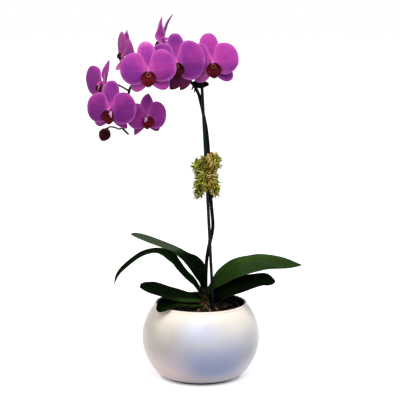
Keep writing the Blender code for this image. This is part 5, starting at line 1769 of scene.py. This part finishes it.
class OrchidSettings(bpy.types.PropertyGroup):
    """Sizes and colours of the dressed plant."""

    glaze_colour: colour_property("Glaze", "Body colour of the bowl's glaze", "f6f1e9")
    # Colour of the painted bluish reflection low at the front of the bowl.
    glaze_reflection_colour: colour_property("Cool glaze", "Tint of the glaze low at the front", "bcc4e2")
    petal_deep: colour_property("Deep petal", "Petal colour of the darkest flower", "781a7e")
    petal_pink: colour_property("Pink petal", "Petal colour of the pinkest flower", "c53fa9")
    petal_vein: colour_property("Veins", "Colour of the petals' veins", "5f1068")
    # Colour of the painted maroon shade on tepals that sit in shadow.
    petal_shade_colour: colour_property("Maroon petal", "Colour of the tepals that turn dark", "4e0a34")
    petal_rim: colour_property("Petal rim", "Colour of the petals' thin edge", "d67fcb")
    lip_colour: colour_property("Lip", "Colour of the lip's middle lobe", "860c20")
    column_colour: colour_property("Column", "Colour of the column over the lip", "c050a2")
    leaf_dark: colour_property("Dark leaf", "Darkest green of the leaves", "12220a")
    leaf_light: colour_property("Light leaf", "Lightest green of the leaves", "2e4a18")
    moss_colour: colour_property("Moss", "Middle green of the moss", "9ba02a")
    floor_bounce: colour_property("Floor bounce", "Colour that the floor throws back on the bowl", "8a90a8")
    world_colour: colour_property("Air", "Colour of the light from all round", "e4e6ee")
    world_strength: number_property(
        "Air strength", "Strength of the light from all round", 0.42, min=0.0, max=2.0
    )
    # The sizes are in metres.
    chip_size: number_property(
        "Chip size", "Length of a middling bark chip", 0.0055, min=0.001, unit="LENGTH"
    )
    moss_length: number_property(
        "Strand length", "Length of a middling strand of moss", 0.0078, min=0.001, unit="LENGTH"
    )
    moss_density: number_property(
        "Strand density", "Strands of moss on a square metre", 160000.0, min=1000.0
    )


class ORCHID_OT_bowl(bpy.types.Operator):
    """Turn the glazed bubble bowl"""

    bl_idname = "orchid.bowl"
    bl_label = "Bowl"

    def execute(self, context):
        make_bowl(context.scene.orchid)
        return {"FINISHED"}


class ORCHID_OT_liner(bpy.types.Operator):
    """Turn the black grow pot"""

    bl_idname = "orchid.liner"
    bl_label = "Grow pot"

    def execute(self, context):
        make_liner()
        return {"FINISHED"}


class ORCHID_OT_bark(bpy.types.Operator):
    """Fill the pot with bark"""

    bl_idname = "orchid.bark"
    bl_label = "Bark"

    def execute(self, context):
        make_bark(context.scene.orchid)
        return {"FINISHED"}


class ORCHID_OT_crown(bpy.types.Operator):
    """Grow the crown and its roots"""

    bl_idname = "orchid.crown"
    bl_label = "Crown and roots"

    def execute(self, context):
        make_crown()
        return {"FINISHED"}


class ORCHID_OT_leaves(bpy.types.Operator):
    """Grow the strap leaves"""

    bl_idname = "orchid.leaves"
    bl_label = "Leaves"

    def execute(self, context):
        make_leaves(context.scene.orchid)
        return {"FINISHED"}


class ORCHID_OT_spike(bpy.types.Operator):
    """Grow the flower spike"""

    bl_idname = "orchid.spike"
    bl_label = "Flower spike"

    def execute(self, context):
        make_spike()
        return {"FINISHED"}


class ORCHID_OT_stake(bpy.types.Operator):
    """Set the stake and its clip"""

    bl_idname = "orchid.stake"
    bl_label = "Stake and clip"

    def execute(self, context):
        make_stake()
        make_clip()
        return {"FINISHED"}


class ORCHID_OT_moss(bpy.types.Operator):
    """Wrap the moss and tie it"""

    bl_idname = "orchid.moss"
    bl_label = "Moss and twine"

    def execute(self, context):
        make_moss(context.scene.orchid)
        make_tie()
        return {"FINISHED"}


class ORCHID_OT_flowers(bpy.types.Operator):
    """Open the flowers"""

    bl_idname = "orchid.flowers"
    bl_label = "Flowers"

    def execute(self, context):
        make_flowers(context.scene.orchid)
        return {"FINISHED"}


class ORCHID_OT_bud(bpy.types.Operator):
    """Grow the closed bud"""

    bl_idname = "orchid.bud"
    bl_label = "Bud"

    def execute(self, context):
        make_bud()
        return {"FINISHED"}


class ORCHID_OT_stage(bpy.types.Operator):
    """Set the floor, the lights and the camera"""

    bl_idname = "orchid.stage"
    bl_label = "Stage"

    def execute(self, context):
        make_stage(context.scene.orchid)
        return {"FINISHED"}


STEPS = (
    ORCHID_OT_stage,
    ORCHID_OT_bowl,
    ORCHID_OT_liner,
    ORCHID_OT_bark,
    ORCHID_OT_crown,
    ORCHID_OT_leaves,
    ORCHID_OT_spike,
    ORCHID_OT_stake,
    ORCHID_OT_moss,
    ORCHID_OT_flowers,
    ORCHID_OT_bud,
)


class ORCHID_PT_panel(bpy.types.Panel):
    """The steps and their settings"""

    bl_label = "Orchid"
    bl_idname = "ORCHID_PT_panel"
    bl_space_type = "VIEW_3D"
    bl_region_type = "UI"
    bl_category = "Orchid"

    def draw(self, context):
        for name in OrchidSettings.__annotations__:
            self.layout.prop(context.scene.orchid, name)
        for step in STEPS:
            self.layout.operator(step.bl_idname)


CLASSES = (OrchidSettings, *STEPS, ORCHID_PT_panel)


def register():
    for item in CLASSES:
        bpy.utils.register_class(item)
    bpy.types.Scene.orchid = bpy.props.PointerProperty(type=OrchidSettings)


def unregister():
    del bpy.types.Scene.orchid
    for item in reversed(CLASSES):
        bpy.utils.unregister_class(item)


def main():
    register()
    for step in STEPS:
        group, name = step.bl_idname.split(".")
        if getattr(getattr(bpy.ops, group), name)() != {"FINISHED"}:
            raise RuntimeError(f"{step.bl_label} did not finish")


if __name__ == "__main__":
    main()
